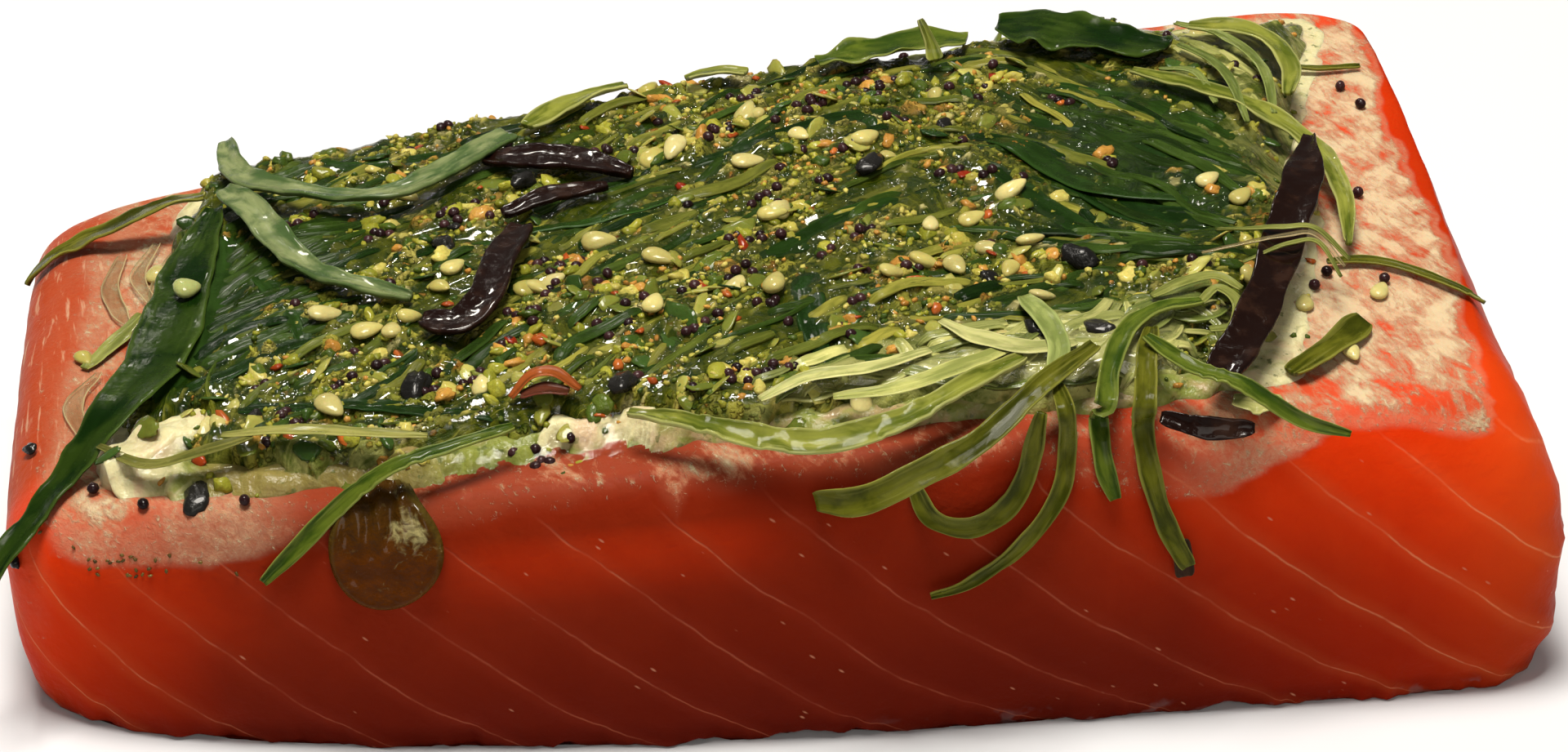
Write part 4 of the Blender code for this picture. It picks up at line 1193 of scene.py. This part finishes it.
# The strips in the mat. Lengths of the same seaweed, pressed into the dressing so that only
# their backs show. Broad deep green fronds lie among them, most of them at the back right.

HIGH_UP = 60


class Batch:
    """Many like pieces gathered in one mesh, each with a tint of its own."""

    def __init__(self):
        self.points, self.faces, self.forms, self.tints = [], [], [], []

    def add(self, points, faces, forms, tint):
        start = len(self.points)
        self.points += points
        self.faces += [tuple(start + k for k in face) for face in faces]
        self.forms += forms
        self.tints += [tint] * len(points)

    def made(self, name, finish):
        tints = {"tint": self.tints, "form": self.forms}
        food(name, self.points, self.faces, finish, "wakame", tints)


def straight_under(x, y, tree):
    """Where a plumb line from high up meets a surface, and the way out there."""
    return tree.ray_cast(Vector((x, y, HIGH_UP)), Vector((0, 0, -1)))[:2]


def mat_height(x, y):
    """The mat's top at a place, or a little over the flesh where it has none."""
    hit, _ = straight_under(x, y, mat_tree)
    return flesh_height(x, y) + 0.9 if hit is None else hit.z


def on_mat(x, y):
    """Whether the mat lies at a place, and isn't only its thin rim."""
    hit, _ = straight_under(x, y, mat_tree)
    return hit is not None and hit.z > flesh_height(x, y) + 0.7


def shade(draw, dark, light):
    """A colour between two, a little lighter or darker than that."""
    t, glow = draw.random(), draw.uniform(0.85, 1.15)
    return tuple(mixed(a, b, t) * glow for a, b in zip(dark, light))


# The broad fronds: their paths in the plan, and their widths from end to end.
FRONDS = [
    ([(-4, -6.5), (1, -3), (6, 0.6), (11.5, 3.8)], (0.8, 3.2, 4, 1.6)),
    ([(1.6, -6.5), (2, -12), (2.6, -17), (3.2, -22)], (3.2, 3.8, 3.2, 1.4)),
    ([(-49, -20.5), (-39.5, -21.6), (-31.5, -23), (-22.5, -25)], (1.6, 2.2, 3, 2)),
    ([(-49.4, 11), (-48.2, 3), (-48, -5), (-49.6, -13), (-53, -21)], (2, 5, 6, 5, 2.6)),
    ([(-51.5, -18), (-47, -15.5), (-41.5, -12), (-36, -10.5)], (2, 3, 2.6, 1)),
    ([(22, 22.5), (29, 19.6), (36, 14.6), (41, 9.6)], (1.6, 2.6, 2.8, 1.6)),
    ([(18, 18), (25, 13.6), (33, 8), (40, 5)], (2, 4, 4.4, 2)),
    ([(17, 14.6), (22, 8.6), (28, 2.6), (37, 0.4)], (2, 4.6, 5, 2.4)),
    ([(20, 10.6), (25.6, 3.4), (31, -1.6), (39.6, -3)], (1.6, 3.8, 4.4, 2)),
    ([(16, 9.6), (21, 2.6), (26.6, -4), (35, -7)], (1.4, 3, 3.6, 2)),
    ([(27, 24.6), (33, 23), (39, 19), (42, 15)], (1.6, 2.8, 2.8, 1.6)),
    ([(-43, 22), (-38, 19.6), (-31, 20), (-26, 23)], (1.2, 2.2, 2.4, 1.2)),
    ([(-10, 12), (-3, 14.6), (5, 17), (12, 17.6)], (1.2, 2.6, 3, 1.4)),
    ([(-30, 1), (-22, 3.6), (-14, 5), (-6, 8.6)], (1, 2.2, 2.4, 1.2)),
    ([(-47.6, 3.6), (-44, -2.4), (-41, -9), (-40, -14)], (1.6, 3.2, 3, 1.6)),
]
FROND_WIDTH = 0.75
MAT_STRIPS = 1500
DIVE = 1.1  # how deep the ends of a strip are sunk
STEP_ALONG = 0.6  # from one point of a pressed strip to the next
PACE = 1.8  # from one knot of a drifting path to the next


def press_in(batch, path, widths, thickness, lift, tint, seed, sides=8, cup=-0.4):
    """Lays a strip along a path in the plan, with its edges and both its ends sunk in the mat."""
    reach = sum(hypot(b[0] - a[0], b[1] - a[1]) for a, b in zip(path, path[1:]))
    flat = smooth_line([(x, y, 0) for x, y in path], max(8, ceil(reach / STEP_ALONG)))
    heights = [mat_height(p.x, p.y) for p in flat]
    line = []
    last = len(flat) - 1
    for k, point in enumerate(flat):
        near = heights[max(0, k - 3) : k + 4]
        to_end = min(min(k, last - k) / last * 6, 1)
        line.append(Vector((point.x, point.y, sum(near) / len(near) + lift - DIVE * (1 - to_end) ** 2)))
    tilt = Vector((0.4 * wobble(seed, 0, 0), 0.4 * wobble(0, seed, 0), 1))
    up = [tilt.normalized()] * len(line)
    strip = ribbon(line, up, widths, thickness, cup=cup, sides=sides, frill=0.15, taper=0.35, seed=seed)
    batch.add(*strip, tint)


def drifting(x, y, reach, seed):
    """A path that follows the flow from a place, for reach millimetres."""
    path = [(x, y)]
    for k in range(max(3, round(reach / PACE))):
        turn = flow(x, y) + 0.7 * wobble(k * 0.35, seed, 3.0)
        x, y = x + PACE * cos(turn), y + PACE * sin(turn)
        path.append((x, y))
    return path


# A strip is laid only where the mat reaches this far to each side of its path.
ASIDE = ((0.9, 0), (-0.9, 0), (0, 0.9), (0, -0.9))
draw = Random(21)
pressed = Batch()
for count in range(MAT_STRIPS):
    x, y = draw.uniform(-56, 44), draw.uniform(-32, 33)
    light, full, dark = areas(x, y)
    if draw.random() > 0.16 + 0.6 * dark + 0.35 * light + 0.3 * (1 - full):
        continue
    path = drifting(x, y, draw.uniform(4, 12) + 7 * dark, count * 1.7)
    if not all(on_mat(px + sx, py + sy) for px, py in path for sx, sy in ASIDE):
        continue
    if light > 0.5:
        tint = shade(draw, (0.13, 0.16, 0.022), (0.42, 0.42, 0.14))
    elif dark > 0.5 or draw.random() < 0.55:
        tint = shade(draw, (0.005, 0.017, 0.0025), (0.032, 0.062, 0.008))
    else:
        tint = shade(draw, (0.035, 0.060, 0.007), (0.24, 0.23, 0.035))
    width = draw.uniform(0.5, 1.7)
    widths = (width * 0.7, width, width * 0.9, width * 0.6)
    press_in(pressed, path, widths, draw.uniform(0.3, 0.5), draw.uniform(-0.25, 0.2), tint, count * 1.3)
for count, (path, widths) in enumerate(FRONDS):
    tint = shade(draw, (0.006, 0.021, 0.003), (0.018, 0.046, 0.006))
    press_in(pressed, path, [FROND_WIDTH * wide for wide in widths], 0.3, 0.0, tint, 500.5 + count, sides=12)

strip_finish = weed("pressed_wakame", (0.65, 0.68, 0.6), (1.25, 1.2, 1.3), (1.9, 1.8, 2.2), own_tint=True,
                    gloss=0.1)
pressed.made("pressed_strips", strip_finish)

# Many pale thin strips lie in a heap over the front edge, see-through and swollen with dressing.
HEAP_STRIPS = 480
HEAP_SLANT = 0.27  # how far back the heap's rear edge goes for each millimetre to the right
HEAP_PACE = 1.2
heap = Batch()
for count in range(HEAP_STRIPS):
    x, y = draw.uniform(-3, 30), draw.uniform(-31, -14)
    if y > -22.5 + HEAP_SLANT * x:
        continue
    path = [(x, y)]
    bend = draw.uniform(-0.32, 0.36)
    turn = draw.uniform(-0.8, 0.9)
    for k in range(round(draw.uniform(4, 9))):
        x, y = x + HEAP_PACE * cos(turn), y + HEAP_PACE * sin(turn)
        turn += bend * (1 + 0.6 * sin(k + count))
        path.append((x, y))
    if not all(on_mat(px, py) and py < -20.5 + HEAP_SLANT * px for px, py in path):
        continue
    width = draw.uniform(0.6, 1.5)
    tint = shade(draw, (0.075, 0.120, 0.012), (0.60, 0.60, 0.20))
    lift = draw.uniform(-0.1, 0.75)
    press_in(heap, path, (width * 0.7, width, width, width * 0.7), 0.6, lift, tint, 700.5 + count, cup=0.1)
heap_finish = weed("heap_wakame", (0.6, 0.65, 0.5), (1.2, 1.15, 1.2), (1.9, 1.8, 2.2), own_tint=True,
                   clear=0.76, gloss=0.5, shine=0.45)
heap.made("heap_strips", heap_finish)


# Slips of seaweed that have no colour of their own left: thin clear strips on the bare ends of
# the fish, rings and threads round the wood ears, and a curl of chilli skin.

CLEAR = (0.34, 0.28, 0.13)
LEAF = (0.20, 0.22, 0.05)
# Each slip: its knots, its widths from end to end, and its tint.
slips = [
    (on(bare, (-51, 19, 0.3), (-53.6, 12, 0.3), (-54.9, 6, 0.3), (-54.7, 0.8, 0.3)), (1.2, 1.9, 1.7, 1),
     CLEAR),
    (on(bare, (-59, 13, 0.3), (-59.4, 7, 0.3), (-58, 2, 0.3), (-57, -0.5, 0.3)), (1.2, 1.7, 1.6, 0.8),
     CLEAR),
    (on(bare, (-56, 14, 0.5), (-57, 8, 0.5), (-55.2, 2.4, 0.5)), (1, 1.5, 1), CLEAR),
    (on(bare, (-55.7, 0.4, 0.5), (-57.5, -3, 0.4), (-60, -7, 0.3)), (1.6, 2.2, 1.2), LEAF),
    (on(bare, (-58.6, -8.2, 0.3), (-60.2, -13, 0.3), (-58.3, -19.5, 0.3)), (1, 1.8, 1), CLEAR),
    (on(over, (35.5, 31, -0.4), (39.5, 27), (42.5, 20.5), (43, 13, -0.4)), (0.7, 1, 1, 0.7),
     (0.17, 0.21, 0.05)),
    (on(over, (35.5, 26.5, -0.3), (38, 22.5), (39.5, 18), (40.5, 11.5, -0.4)), (0.6, 0.9, 0.9, 0.6),
     (0.14, 0.18, 0.04)),
    (on(over, (33.5, 22, -0.3), (36.5, 20), (38, 15, -0.3)), (0.5, 0.8, 0.6), (0.15, 0.19, 0.045)),
    (on(over, (36.5, -7, 0.3), (41.8, -8.3, 1.2), (44.6, -8.4, 1), (47.4, -10.4, -0.8)),
     (0.3, 0.6, 0.6, 0.4), LEAF),
    (on(over, (35, -10.2, 0.3), (41.7, -9.6, 1.2), (44.6, -9.4, 1), (46.9, -11.4, -0.8)),
     (0.3, 0.5, 0.6, 0.3), CLEAR),
    (on(over, (38.3, -11.9, 0.3), (42.3, -10.8, 1.2), (44.7, -10.6, 1), (46.5, -12.8, -0.8)),
     (0.3, 0.5, 0.5, 0.3), LEAF),
    (on(over, (34.5, -16.5), (36, -15, 0.2), (37.5, -17, 0.3), (37, -20, 0.2), (35, -20.5)),
     (0.8, 1, 1.1, 1, 0.8), LEAF),
    (on(over, (30.5, -15.5), (33, -14.2, 0.3), (36, -13.4, 0.2), (38, -14.8, -0.2)),
     (0.8, 1.1, 1.1, 0.8), LEAF),
    (on(over, (-22.4, -24.6, -0.4), (-20.8, -23.5, 0.7), (-18.8, -23.4, 0.7), (-16.7, -24.5, -0.4)),
     (0.8, 1.3, 1.3, 0.7), (0.24, 0.06, 0.012)),
    (on(over, (-21.6, -24.6, -0.3), (-19.7, -24.4, 0), (-17.6, -24.7, -0.3)), (1.2, 1.9, 1.2),
     (0.085, 0.024, 0.012)),
    (on(over, (4, -27.5, -0.4), (9, -27.2), (14, -25.2, 0.2), (19, -21.5, -0.2)), (1, 1.8, 1.9, 1.2),
     (0.36, 0.38, 0.11)),
    (on(over, (-2, -27.5, -0.5), (2, -25.5), (7, -24.5), (12, -21.5, -0.3)), (1, 1.5, 1.6, 1),
     (0.46, 0.47, 0.17)),
    (on(over, (13, -17.5, -0.3), (16, -20.5, 0.2), (20, -22.5, 0.2), (24, -21.5, -0.3)), (1, 2, 2, 1.2),
     (0.4, 0.41, 0.15)),
    (on(over, (20, -14.5, -0.2), (21.5, -18.5, 0.3), (22.5, -22.5, 0.3), (22, -25.5)),
     (1.6, 2.2, 2, 1.4), (0.26, 0.31, 0.09)),
    (on(over, (-46, -26.6, -0.5), (-40, -27.6), (-34, -28.6), (-29, -28.8, -0.5)), (0.9, 1.4, 1.3, 0.8),
     (0.24, 0.24, 0.06)),
    (on(over, (-56.5, -24.5, -1.4), (-52, -28.2, -1.4), (-47, -28.2, -0.8), (-43.4, -27.4, -0.5)),
     (0.8, 1.4, 1.4, 1), (0.14, 0.14, 0.03)),
    (on(bare, (36.7, -25.4, 1), (38.8, -25.8, 1), (40.8, -25, 0.8)), (1.6, 2.4, 1.4),
     (0.36, 0.36, 0.12)),
    (on(at_front, (32.5, 18.2, 0.5), (32.8, 16.5, 0.6), (33, 14.8, 0.5)), (1.5, 1.7, 1.6),
     (0.03, 0.014, 0.006)),
]
loose_slips, clear_slips = Batch(), Batch()
for count, (knots, widths, tint) in enumerate(slips):
    line, up = laid_on(smooth_line(knots, 8 * len(knots)), flesh_tree, 0.2)
    batch = clear_slips if tint == CLEAR else loose_slips
    slip = ribbon(line, up, widths, 0.3, cup=0.2, sides=10, frill=0.15, taper=0.8, seed=count * 2.9)
    batch.add(*slip, tint)
loose_slips.made("loose_slips", strip_finish)
clear_finish = weed("clear_wakame", (0.65, 0.68, 0.6), (1.25, 1.2, 1.3), (2.2, 2.1, 2.4), own_tint=True,
                    clear=0.2)
clear_slips.made("clear_slips", clear_finish)


# The dressing. A clear green jelly that fills the hollows between the crumbs. It shows by its
# glints, and it darkens what lies under it. In the heap of pale strips it is deeper and milky.


def in_heap(x, y):
    """How far a place is inside the heap of pale strips, from 0 to 1."""
    return step(x, -4, 5) * (1 - step(x, 29, 34)) * (1 - step(y - HEAP_SLANT * x, -26.5, -23.0))


def dressed(name, sheet_points, cells, lift, least, most, deeper=0.0):
    """The dressing on a layer: a smooth sheet over its hollows, from least to most cloudy."""
    columns, rows = cells[0] + 1, cells[1] + 1
    sheet = sheet_points[: columns * rows].reshape(rows, columns, 3).copy()
    level = sheet[:, :, 2]
    for _ in range(6):
        wide = np.pad(level, 1, mode="edge")
        aside = wide[:-2, 1:-1] + wide[2:, 1:-1] + wide[1:-1, :-2] + wide[1:-1, 2:]
        level = (aside + wide[1:-1, 1:-1]) / 5
    border = np.ones((rows, columns), bool)
    border[3:-3, 3:-3] = False
    milk = in_heap(sheet[:, :, 0], sheet[:, :, 1]) * (deeper > 0)
    sheet[:, :, 2] = level + lift + deeper * milk - 1.5 * border
    sheet, milk = sheet[::2, ::2], milk[::2, ::2]
    finish = Finish(name, Roughness=0.06, Coat_Weight=0.8, Coat_Roughness=0.04, Coat_IOR=1.8, IOR=1.8)
    milky, = channels(finish, "milk", 1)
    cloudy = finish.between(finish.grain(3.0), 0.35, 0.65)
    finish.paint(
        Base_Color=finish.mix(milky, (0.014, 0.034, 0.001), (0.58, 0.58, 0.22)),
        Alpha=least + (most - least) * cloudy + 0.14 * milky,
    )
    finish.bump(finish.grain(1.2, detail=2), 0.55)
    rows, columns = sheet.shape[:2]
    milk_colours = np.c_[milk.ravel(), np.zeros((milk.size, 2))]
    faces = grid_faces(columns - 1, rows - 1)
    food(name, sheet.reshape(-1, 3), faces, finish, "seaweed_salad", {"milk": milk_colours})


dressed("clear_dressing", mat_points, MAT_CELLS, lift=0.12, least=0.16, most=0.44, deeper=0.75)
dressed("cream_dressing", cream_points, CREAM_CELLS, lift=0.08, least=0.02, most=0.16)


# The toppings. Sesame, black sesame, poppy seed, chilli flakes and crushed spice, scattered over
# the mat and stuck in the dressing. They lie thickest in bands between the broad strips.

top_points, top_faces = [], []
layers = (mat_points, mat_faces), (cream_points, cream_faces), (pressed.points, pressed.faces)
for layer_points, layer_faces in layers:
    start = len(top_points)
    top_points += [Vector(p) for p in layer_points]
    top_faces += [tuple(start + k for k in face) for face in layer_faces]
top_tree = BVHTree.FromPolygons(top_points, top_faces)
paths = [(smooth_line([(x, y, 0) for x, y in path], 24), max(widths) / 2) for path, widths in FRONDS]
for knots, widths, *_ in [*loose_strips.values(), *mushroom_strips.values()]:
    paths.append((smooth_line(knots, 30), max(widths) / 2))
path_tree = KDTree(sum(len(line) for line, _ in paths))
path_reach = []
for line, reach in paths:
    for point in line:
        path_tree.insert((point.x, point.y, 0), len(path_reach))
        path_reach.append(reach)
path_tree.balance()


def spice_share(x, y):
    """How thickly the spices lie at a place, from 0 to 1: thinly on the broad strips."""
    _, near, distance = path_tree.find((x, y, 0))
    clear = min(max((distance - path_reach[near] + 0.4) / 0.8, 0.03), 1)
    return clear * areas(x, y)[1] * (1 if on_mat(x, y) else 0.15)


def ball(around, levels, lumps=0.0, seed=0.0):
    """A unit ball's points and faces, dented by lumps of its radius."""
    points = [(0, 0, -1)]
    turns = [2 * pi * k / around for k in range(around)]
    for j in range(1, levels):
        tilt = -pi / 2 + pi * j / levels
        points += [(cos(tilt) * cos(turn), cos(tilt) * sin(turn), sin(tilt)) for turn in turns]
    points.append((0, 0, 1))
    last = len(points) - 1
    pairs = list(zip(range(around), [*range(1, around), 0]))
    faces = [(0, 1 + b, 1 + a) for a, b in pairs]
    for start in range(1, last - around, around):
        faces += [(start + a, start + b, start + b + around, start + a + around) for a, b in pairs]
    faces += [(last, last - around + a, last - around + b) for a, b in pairs]
    dents = [lumps * noise.noise(Vector(p) * 1.3 + Vector((seed, 0, 0))) for p in points]
    return np.array([tuple(Vector(p) * (1 + dent)) for p, dent in zip(points, dents)]), faces


def strewn(name, shapes, spots, finish):
    """One mesh of the shapes by turns, one at each spot: (place, way out, turn, size, tint)."""
    all_points, all_faces, tints = [], [], []
    start = 0
    for count, (place, out, turn, size, tint) in enumerate(spots):
        shape, faces = shapes[count % len(shapes)]
        side = Vector((cos(turn), sin(turn), 0))
        ahead = (side - out * side.dot(out)).normalized()
        turned = np.array([ahead, out.cross(ahead), out])
        all_points.append((shape * np.array(size)) @ turned + np.array(place))
        all_faces += [tuple(start + k for k in face) for face in faces]
        tints += [tint] * len(shape)
        start += len(shape)
    food(name, np.concatenate(all_points), all_faces, finish, "seaweed_salad", {"tint": tints})


def settle(x, y, tree, sink):
    """Where a crumb comes to rest on a surface, and its way up there, if it isn't too steep."""
    hit, normal = straight_under(x, y, tree)
    if hit is None or normal.z < 0.15:
        return None
    out = (normal * 0.5 + Vector((0, 0, 0.5))).normalized()
    return hit + out * sink, out


def spice(name, roughness, bump_size, bump_depth, **constants):
    """A seed's or crumb's finish: its own tint, mottled, wet with dressing."""
    finish = Finish(name, Roughness=roughness, Specular_IOR_Level=0.12, Coat_Roughness=0.06, **constants)
    finish.wet(0.35)
    own = finish.tint()
    speck = finish.between(finish.grain(bump_size * 1.5), 0.4, 0.65)
    darker = finish.times(own, (0.6, 0.55, 0.5))
    finish.paint(Base_Color=finish.mix(speck * 0.3, own, darker))
    finish.bump(finish.grain(bump_size), bump_depth)
    return finish


# Where crumbs may fall, along the portion and across it.
STREWN_ALONG = (-58, 46)
STREWN_ACROSS = (-34, 36)


def scattered(size_of, tint_of, count, seed, sink, least=0.0, most=1.0, clump=1, tilt=0.0):
    """Seeded spots over the salad, thickest where the spices are, some in clumps along the flow."""
    draw = Random(seed)
    spots = []
    for _ in range(count):
        x, y = draw.uniform(*STREWN_ALONG), draw.uniform(*STREWN_ACROSS)
        if draw.random() > least + (most - least) * spice_share(x, y):
            continue
        turn = flow(x, y)
        for member in range(draw.randint(1, clump)):
            reach = draw.uniform(0.5, 1.2) * member
            aside = draw.uniform(-0.7, 0.7) * (member > 0)
            px = x + reach * cos(turn) - aside * sin(turn)
            py = y + reach * sin(turn) + aside * cos(turn)
            rest = settle(px, py, top_tree, sink * draw.uniform(0.6, 1.4))
            if rest is not None:
                place, out = rest
                lean = Vector((draw.uniform(-tilt, tilt), draw.uniform(-tilt, tilt), 0))
                spin = turn + draw.uniform(-1.5, 1.5)
                spots.append((place, (out + lean).normalized(), spin, size_of(draw), tint_of(draw)))
    return spots


def placed_spots(places, tree, size_of, tint_of, seed, sink):
    """Spots at chosen places, each where it comes to rest."""
    draw = Random(seed)
    spots = []
    for x, y in places:
        rest = settle(x, y, tree, sink)
        if rest is not None:
            spots.append((*rest, draw.uniform(-2, 2), size_of(draw), tint_of(draw)))
    return spots


def sized(*spans):
    """A way to draw half a crumb's length, width and height, each from its span."""
    return lambda draw: tuple(draw.uniform(*span) for span in spans)


def tinted(dark, light):
    """A way to draw a tint between two colours."""
    return lambda draw: shade(draw, dark, light)


def picked(*kinds):
    """A way to draw a tint from several kinds, each with its two colours and its share."""

    def tint_of(draw):
        pick = draw.random()
        for dark, light, share in kinds:
            pick -= share
            if pick <= 0:
                break
        return shade(draw, dark, light)

    return tint_of


# The sesame is a drop, pointed at one end and flat.
SESAME_SPOTS = [
    (7.8, -18.9), (18.3, -19.6), (-6.6, 8.1), (-9.7, 14.7), (-10.9, -12.8), (-3.2, 11.8), (1.4, 14.8),
    (7.2, 12.9), (12.5, -1.9), (16.1, -1.2), (17.8, -2.3), (19.7, 2.6), (18.7, 6), (18.5, 12.7),
    (32, -8.5), (26.9, -13.9), (36.5, 2.7), (37.8, 1.9), (39.1, -0.1), (35.2, -1), (-3.8, -12.3),
    (-0.7, -10.6), (-37.4, -22.7), (-28.3, -2.4), (-29.2, -5.7), (-31.7, -10.5), (-33, -12.1),
    (-35.1, -11.8), (-48.5, -15.8), (14.5, -8.5), (17.5, -6), (21, -5), (15, -12.5), (19, -9),
    (12.5, -11), (9, -9.5), (23.5, -10.5),
]
BARE_SESAME_SPOTS = [(-60.2, -5.4), (-55.3, 8.1), (47.1, -18.2), (50.2, -10), (43.7, -11.7)]
drop, drop_faces = ball(14, 9)
drop[:, 1] *= 1 - 0.38 * drop[:, 0]
drop[:, 2] *= 1 - 0.25 * drop[:, 0]


def sesame_size(draw):
    size = draw.uniform(0.75, 1.1)
    return 1.5 * size, draw.uniform(0.85, 1.05) * size, draw.uniform(0.45, 0.6) * size


sesame_tint = tinted((0.42, 0.37, 0.08), (0.62, 0.55, 0.23))
sesame = spice("white_sesame", 0.3, 1.0, 0.12, Subsurface_Weight=0.15, Subsurface_Scale=0.0008)
spots = placed_spots(SESAME_SPOTS, top_tree, sesame_size, sesame_tint, seed=3, sink=0.35)
spots += scattered(sesame_size, sesame_tint, count=300, seed=5, sink=0.12, most=0.3, clump=2, tilt=0.4)
spots += placed_spots(BARE_SESAME_SPOTS, flesh_tree, sesame_size, sesame_tint, seed=4, sink=0.3)
lean = Vector((0.1, -0.1, 1)).normalized()
spots.append((over(-51.2, -3.0, 0.25), lean, 0.4, (1.25, 1.15, 0.6), (0.36, 0.40, 0.14)))
strewn("white_sesame_seeds", [(drop, drop_faces)], spots, sesame)

BLACK_SPOTS = [
    (-32.1, -15.3), (-30.3, -20.4), (-6.3, -13.5), (7.5, 7.9), (20.6, 16.8), (25.1, -7.9), (-23, 11.2),
    (-29.3, 1.9), (-13.1, -23.4), (-49, -30.7), (-48, -29.8), (-45, -30.4), (-55.3, -5.6), (20.9, -18.9),
    (26.3, -19.1),
]


def black_sized(least, most):
    """A way to draw the three half lengths of a black seed, which differ in size alone."""

    def size_of(draw):
        size = draw.uniform(least, most)
        return 1.9 * size, 1.15 * size, 0.8 * size

    return size_of


black_size, small_black_size = black_sized(0.7, 1.0), black_sized(0.4, 0.65)
black_tint = tinted((0.006, 0.006, 0.006), (0.018, 0.017, 0.015))
black_seed = spice("black_sesame", 0.2, 0.5, 0.2)
spots = placed_spots(BLACK_SPOTS, top_tree, black_size, black_tint, seed=6, sink=0.4)
draw = Random(7)
for place in ((-63.0, -18.0, 18.6), (-63.6, -27.8, 16.0), (-63.4, -28.6, 15.0)):
    near, out, _, _ = flesh_tree.find_nearest(Vector(place))
    spots.append((near + out * 0.3, out, draw.uniform(-2, 2), small_black_size(draw), black_tint(draw)))
spots += scattered(small_black_size, black_tint, count=130, seed=8, sink=0.1, least=0.05, most=0.25)
strewn("black_sesame_seeds", [ball(16, 12, 0.42, k * 1.7) for k in range(5)], spots, black_seed)

# Poppy seeds are round and purple brown, and some have come loose onto the bare fish.
BARE_POPPY_SPOTS = [
    (-22.1, -27.6), (-20.3, -27.4), (-18.2, -26), (-56.8, -27.2), (-52.3, -30.2), (-43.9, -31.1),
    (-54.2, -15.9), (49.7, 4.7), (50.7, -8.5), (49.9, 23.4), (45.9, -7.6), (44.7, -9.5), (51.4, 20.2),
]
poppy_size = sized((0.5, 0.6), (0.44, 0.54), (0.42, 0.5))
poppy_tint = tinted((0.010, 0.004, 0.005), (0.050, 0.018, 0.020))
poppy = spice("poppy_seed", 0.2, 0.3, 0.10)
spots = placed_spots(BARE_POPPY_SPOTS, flesh_tree, poppy_size, poppy_tint, seed=10, sink=0.45)
spots += scattered(poppy_size, poppy_tint, count=620, seed=13, sink=0.05, least=0.04, most=0.62, clump=4)
strewn("poppy_seeds", [ball(9, 6)], spots, poppy)

chilli_size = sized((0.4, 1.0), (0.3, 0.7), (0.18, 0.3))
chilli_tint = tinted((0.26, 0.016, 0.004), (0.50, 0.13, 0.02))
chilli = spice("chilli_flake", 0.25, 0.5, 0.12)
spots = scattered(chilli_size, chilli_tint, count=420, seed=17, sink=0.05, least=0.03, most=0.6, tilt=0.5)
strewn("chilli_flakes", [ball(7, 5, 0.5, k) for k in range(4)], spots, chilli)

# The crushed spice: coarse crumbs of nut and seed, then fine grains of every colour.
spice_tint = picked(
    ((0.20, 0.21, 0.018), (0.38, 0.37, 0.04), 0.38),
    ((0.42, 0.37, 0.06), (0.62, 0.54, 0.14), 0.26),
    ((0.42, 0.19, 0.03), (0.58, 0.31, 0.06), 0.16),
    ((0.03, 0.065, 0.007), (0.10, 0.14, 0.016), 0.20),
)
coarse = sized((0.5, 1.3), (0.4, 0.95), (0.35, 0.6))
fine = sized((0.2, 0.5), (0.18, 0.4), (0.16, 0.34))
crushed = spice("crushed_spice", 0.22, 0.35, 0.15, Subsurface_Weight=0.1, Subsurface_Scale=0.0005)
spots = scattered(
    coarse, spice_tint, count=1300, seed=23, sink=-0.05, least=0.02, most=0.8, clump=2, tilt=0.6
)
strewn("coarse_spice", [ball(10, 8, 0.5, k * 3.1) for k in range(6)], spots, crushed)
spots = scattered(fine, spice_tint, count=4800, seed=29, sink=0.03, least=0.02, most=0.95, clump=3)
draw = Random(30)
for _ in range(26):
    place = at_front(draw.gauss(-54, 3), draw.gauss(17.2, 0.7), 0.0)
    tint = shade(draw, (0.06, 0.035, 0.008), (0.16, 0.10, 0.02))
    spots.append((place, Vector((0, -0.9, 0.4)), draw.uniform(-2, 2), (0.24, 0.16, 0.09), tint))
strewn("fine_spice", [ball(5, 4, 0.5, k * 2.3) for k in range(5)], spots, crushed)

# Chopped leaf and hulls: thin slips of every green, flat or on edge in the dressing.
leaf_size = sized((0.7, 2.0), (0.5, 1.2), (0.12, 0.2))
leaf_tint = picked(
    ((0.24, 0.25, 0.035), (0.46, 0.43, 0.11), 0.40),
    ((0.08, 0.11, 0.012), (0.18, 0.20, 0.03), 0.34),
    ((0.014, 0.038, 0.007), (0.05, 0.10, 0.016), 0.26),
)
leaf = spice("chopped_leaf", 0.18, 0.8, 0.15, Subsurface_Weight=0.2, Subsurface_Scale=0.0006)
spots = scattered(leaf_size, leaf_tint, count=760, seed=31, sink=0.0, least=0.25, most=0.75, tilt=0.7)
strewn("chopped_leaf", [ball(12, 6, 0.4, k * 2.7) for k in range(6)], spots, leaf)
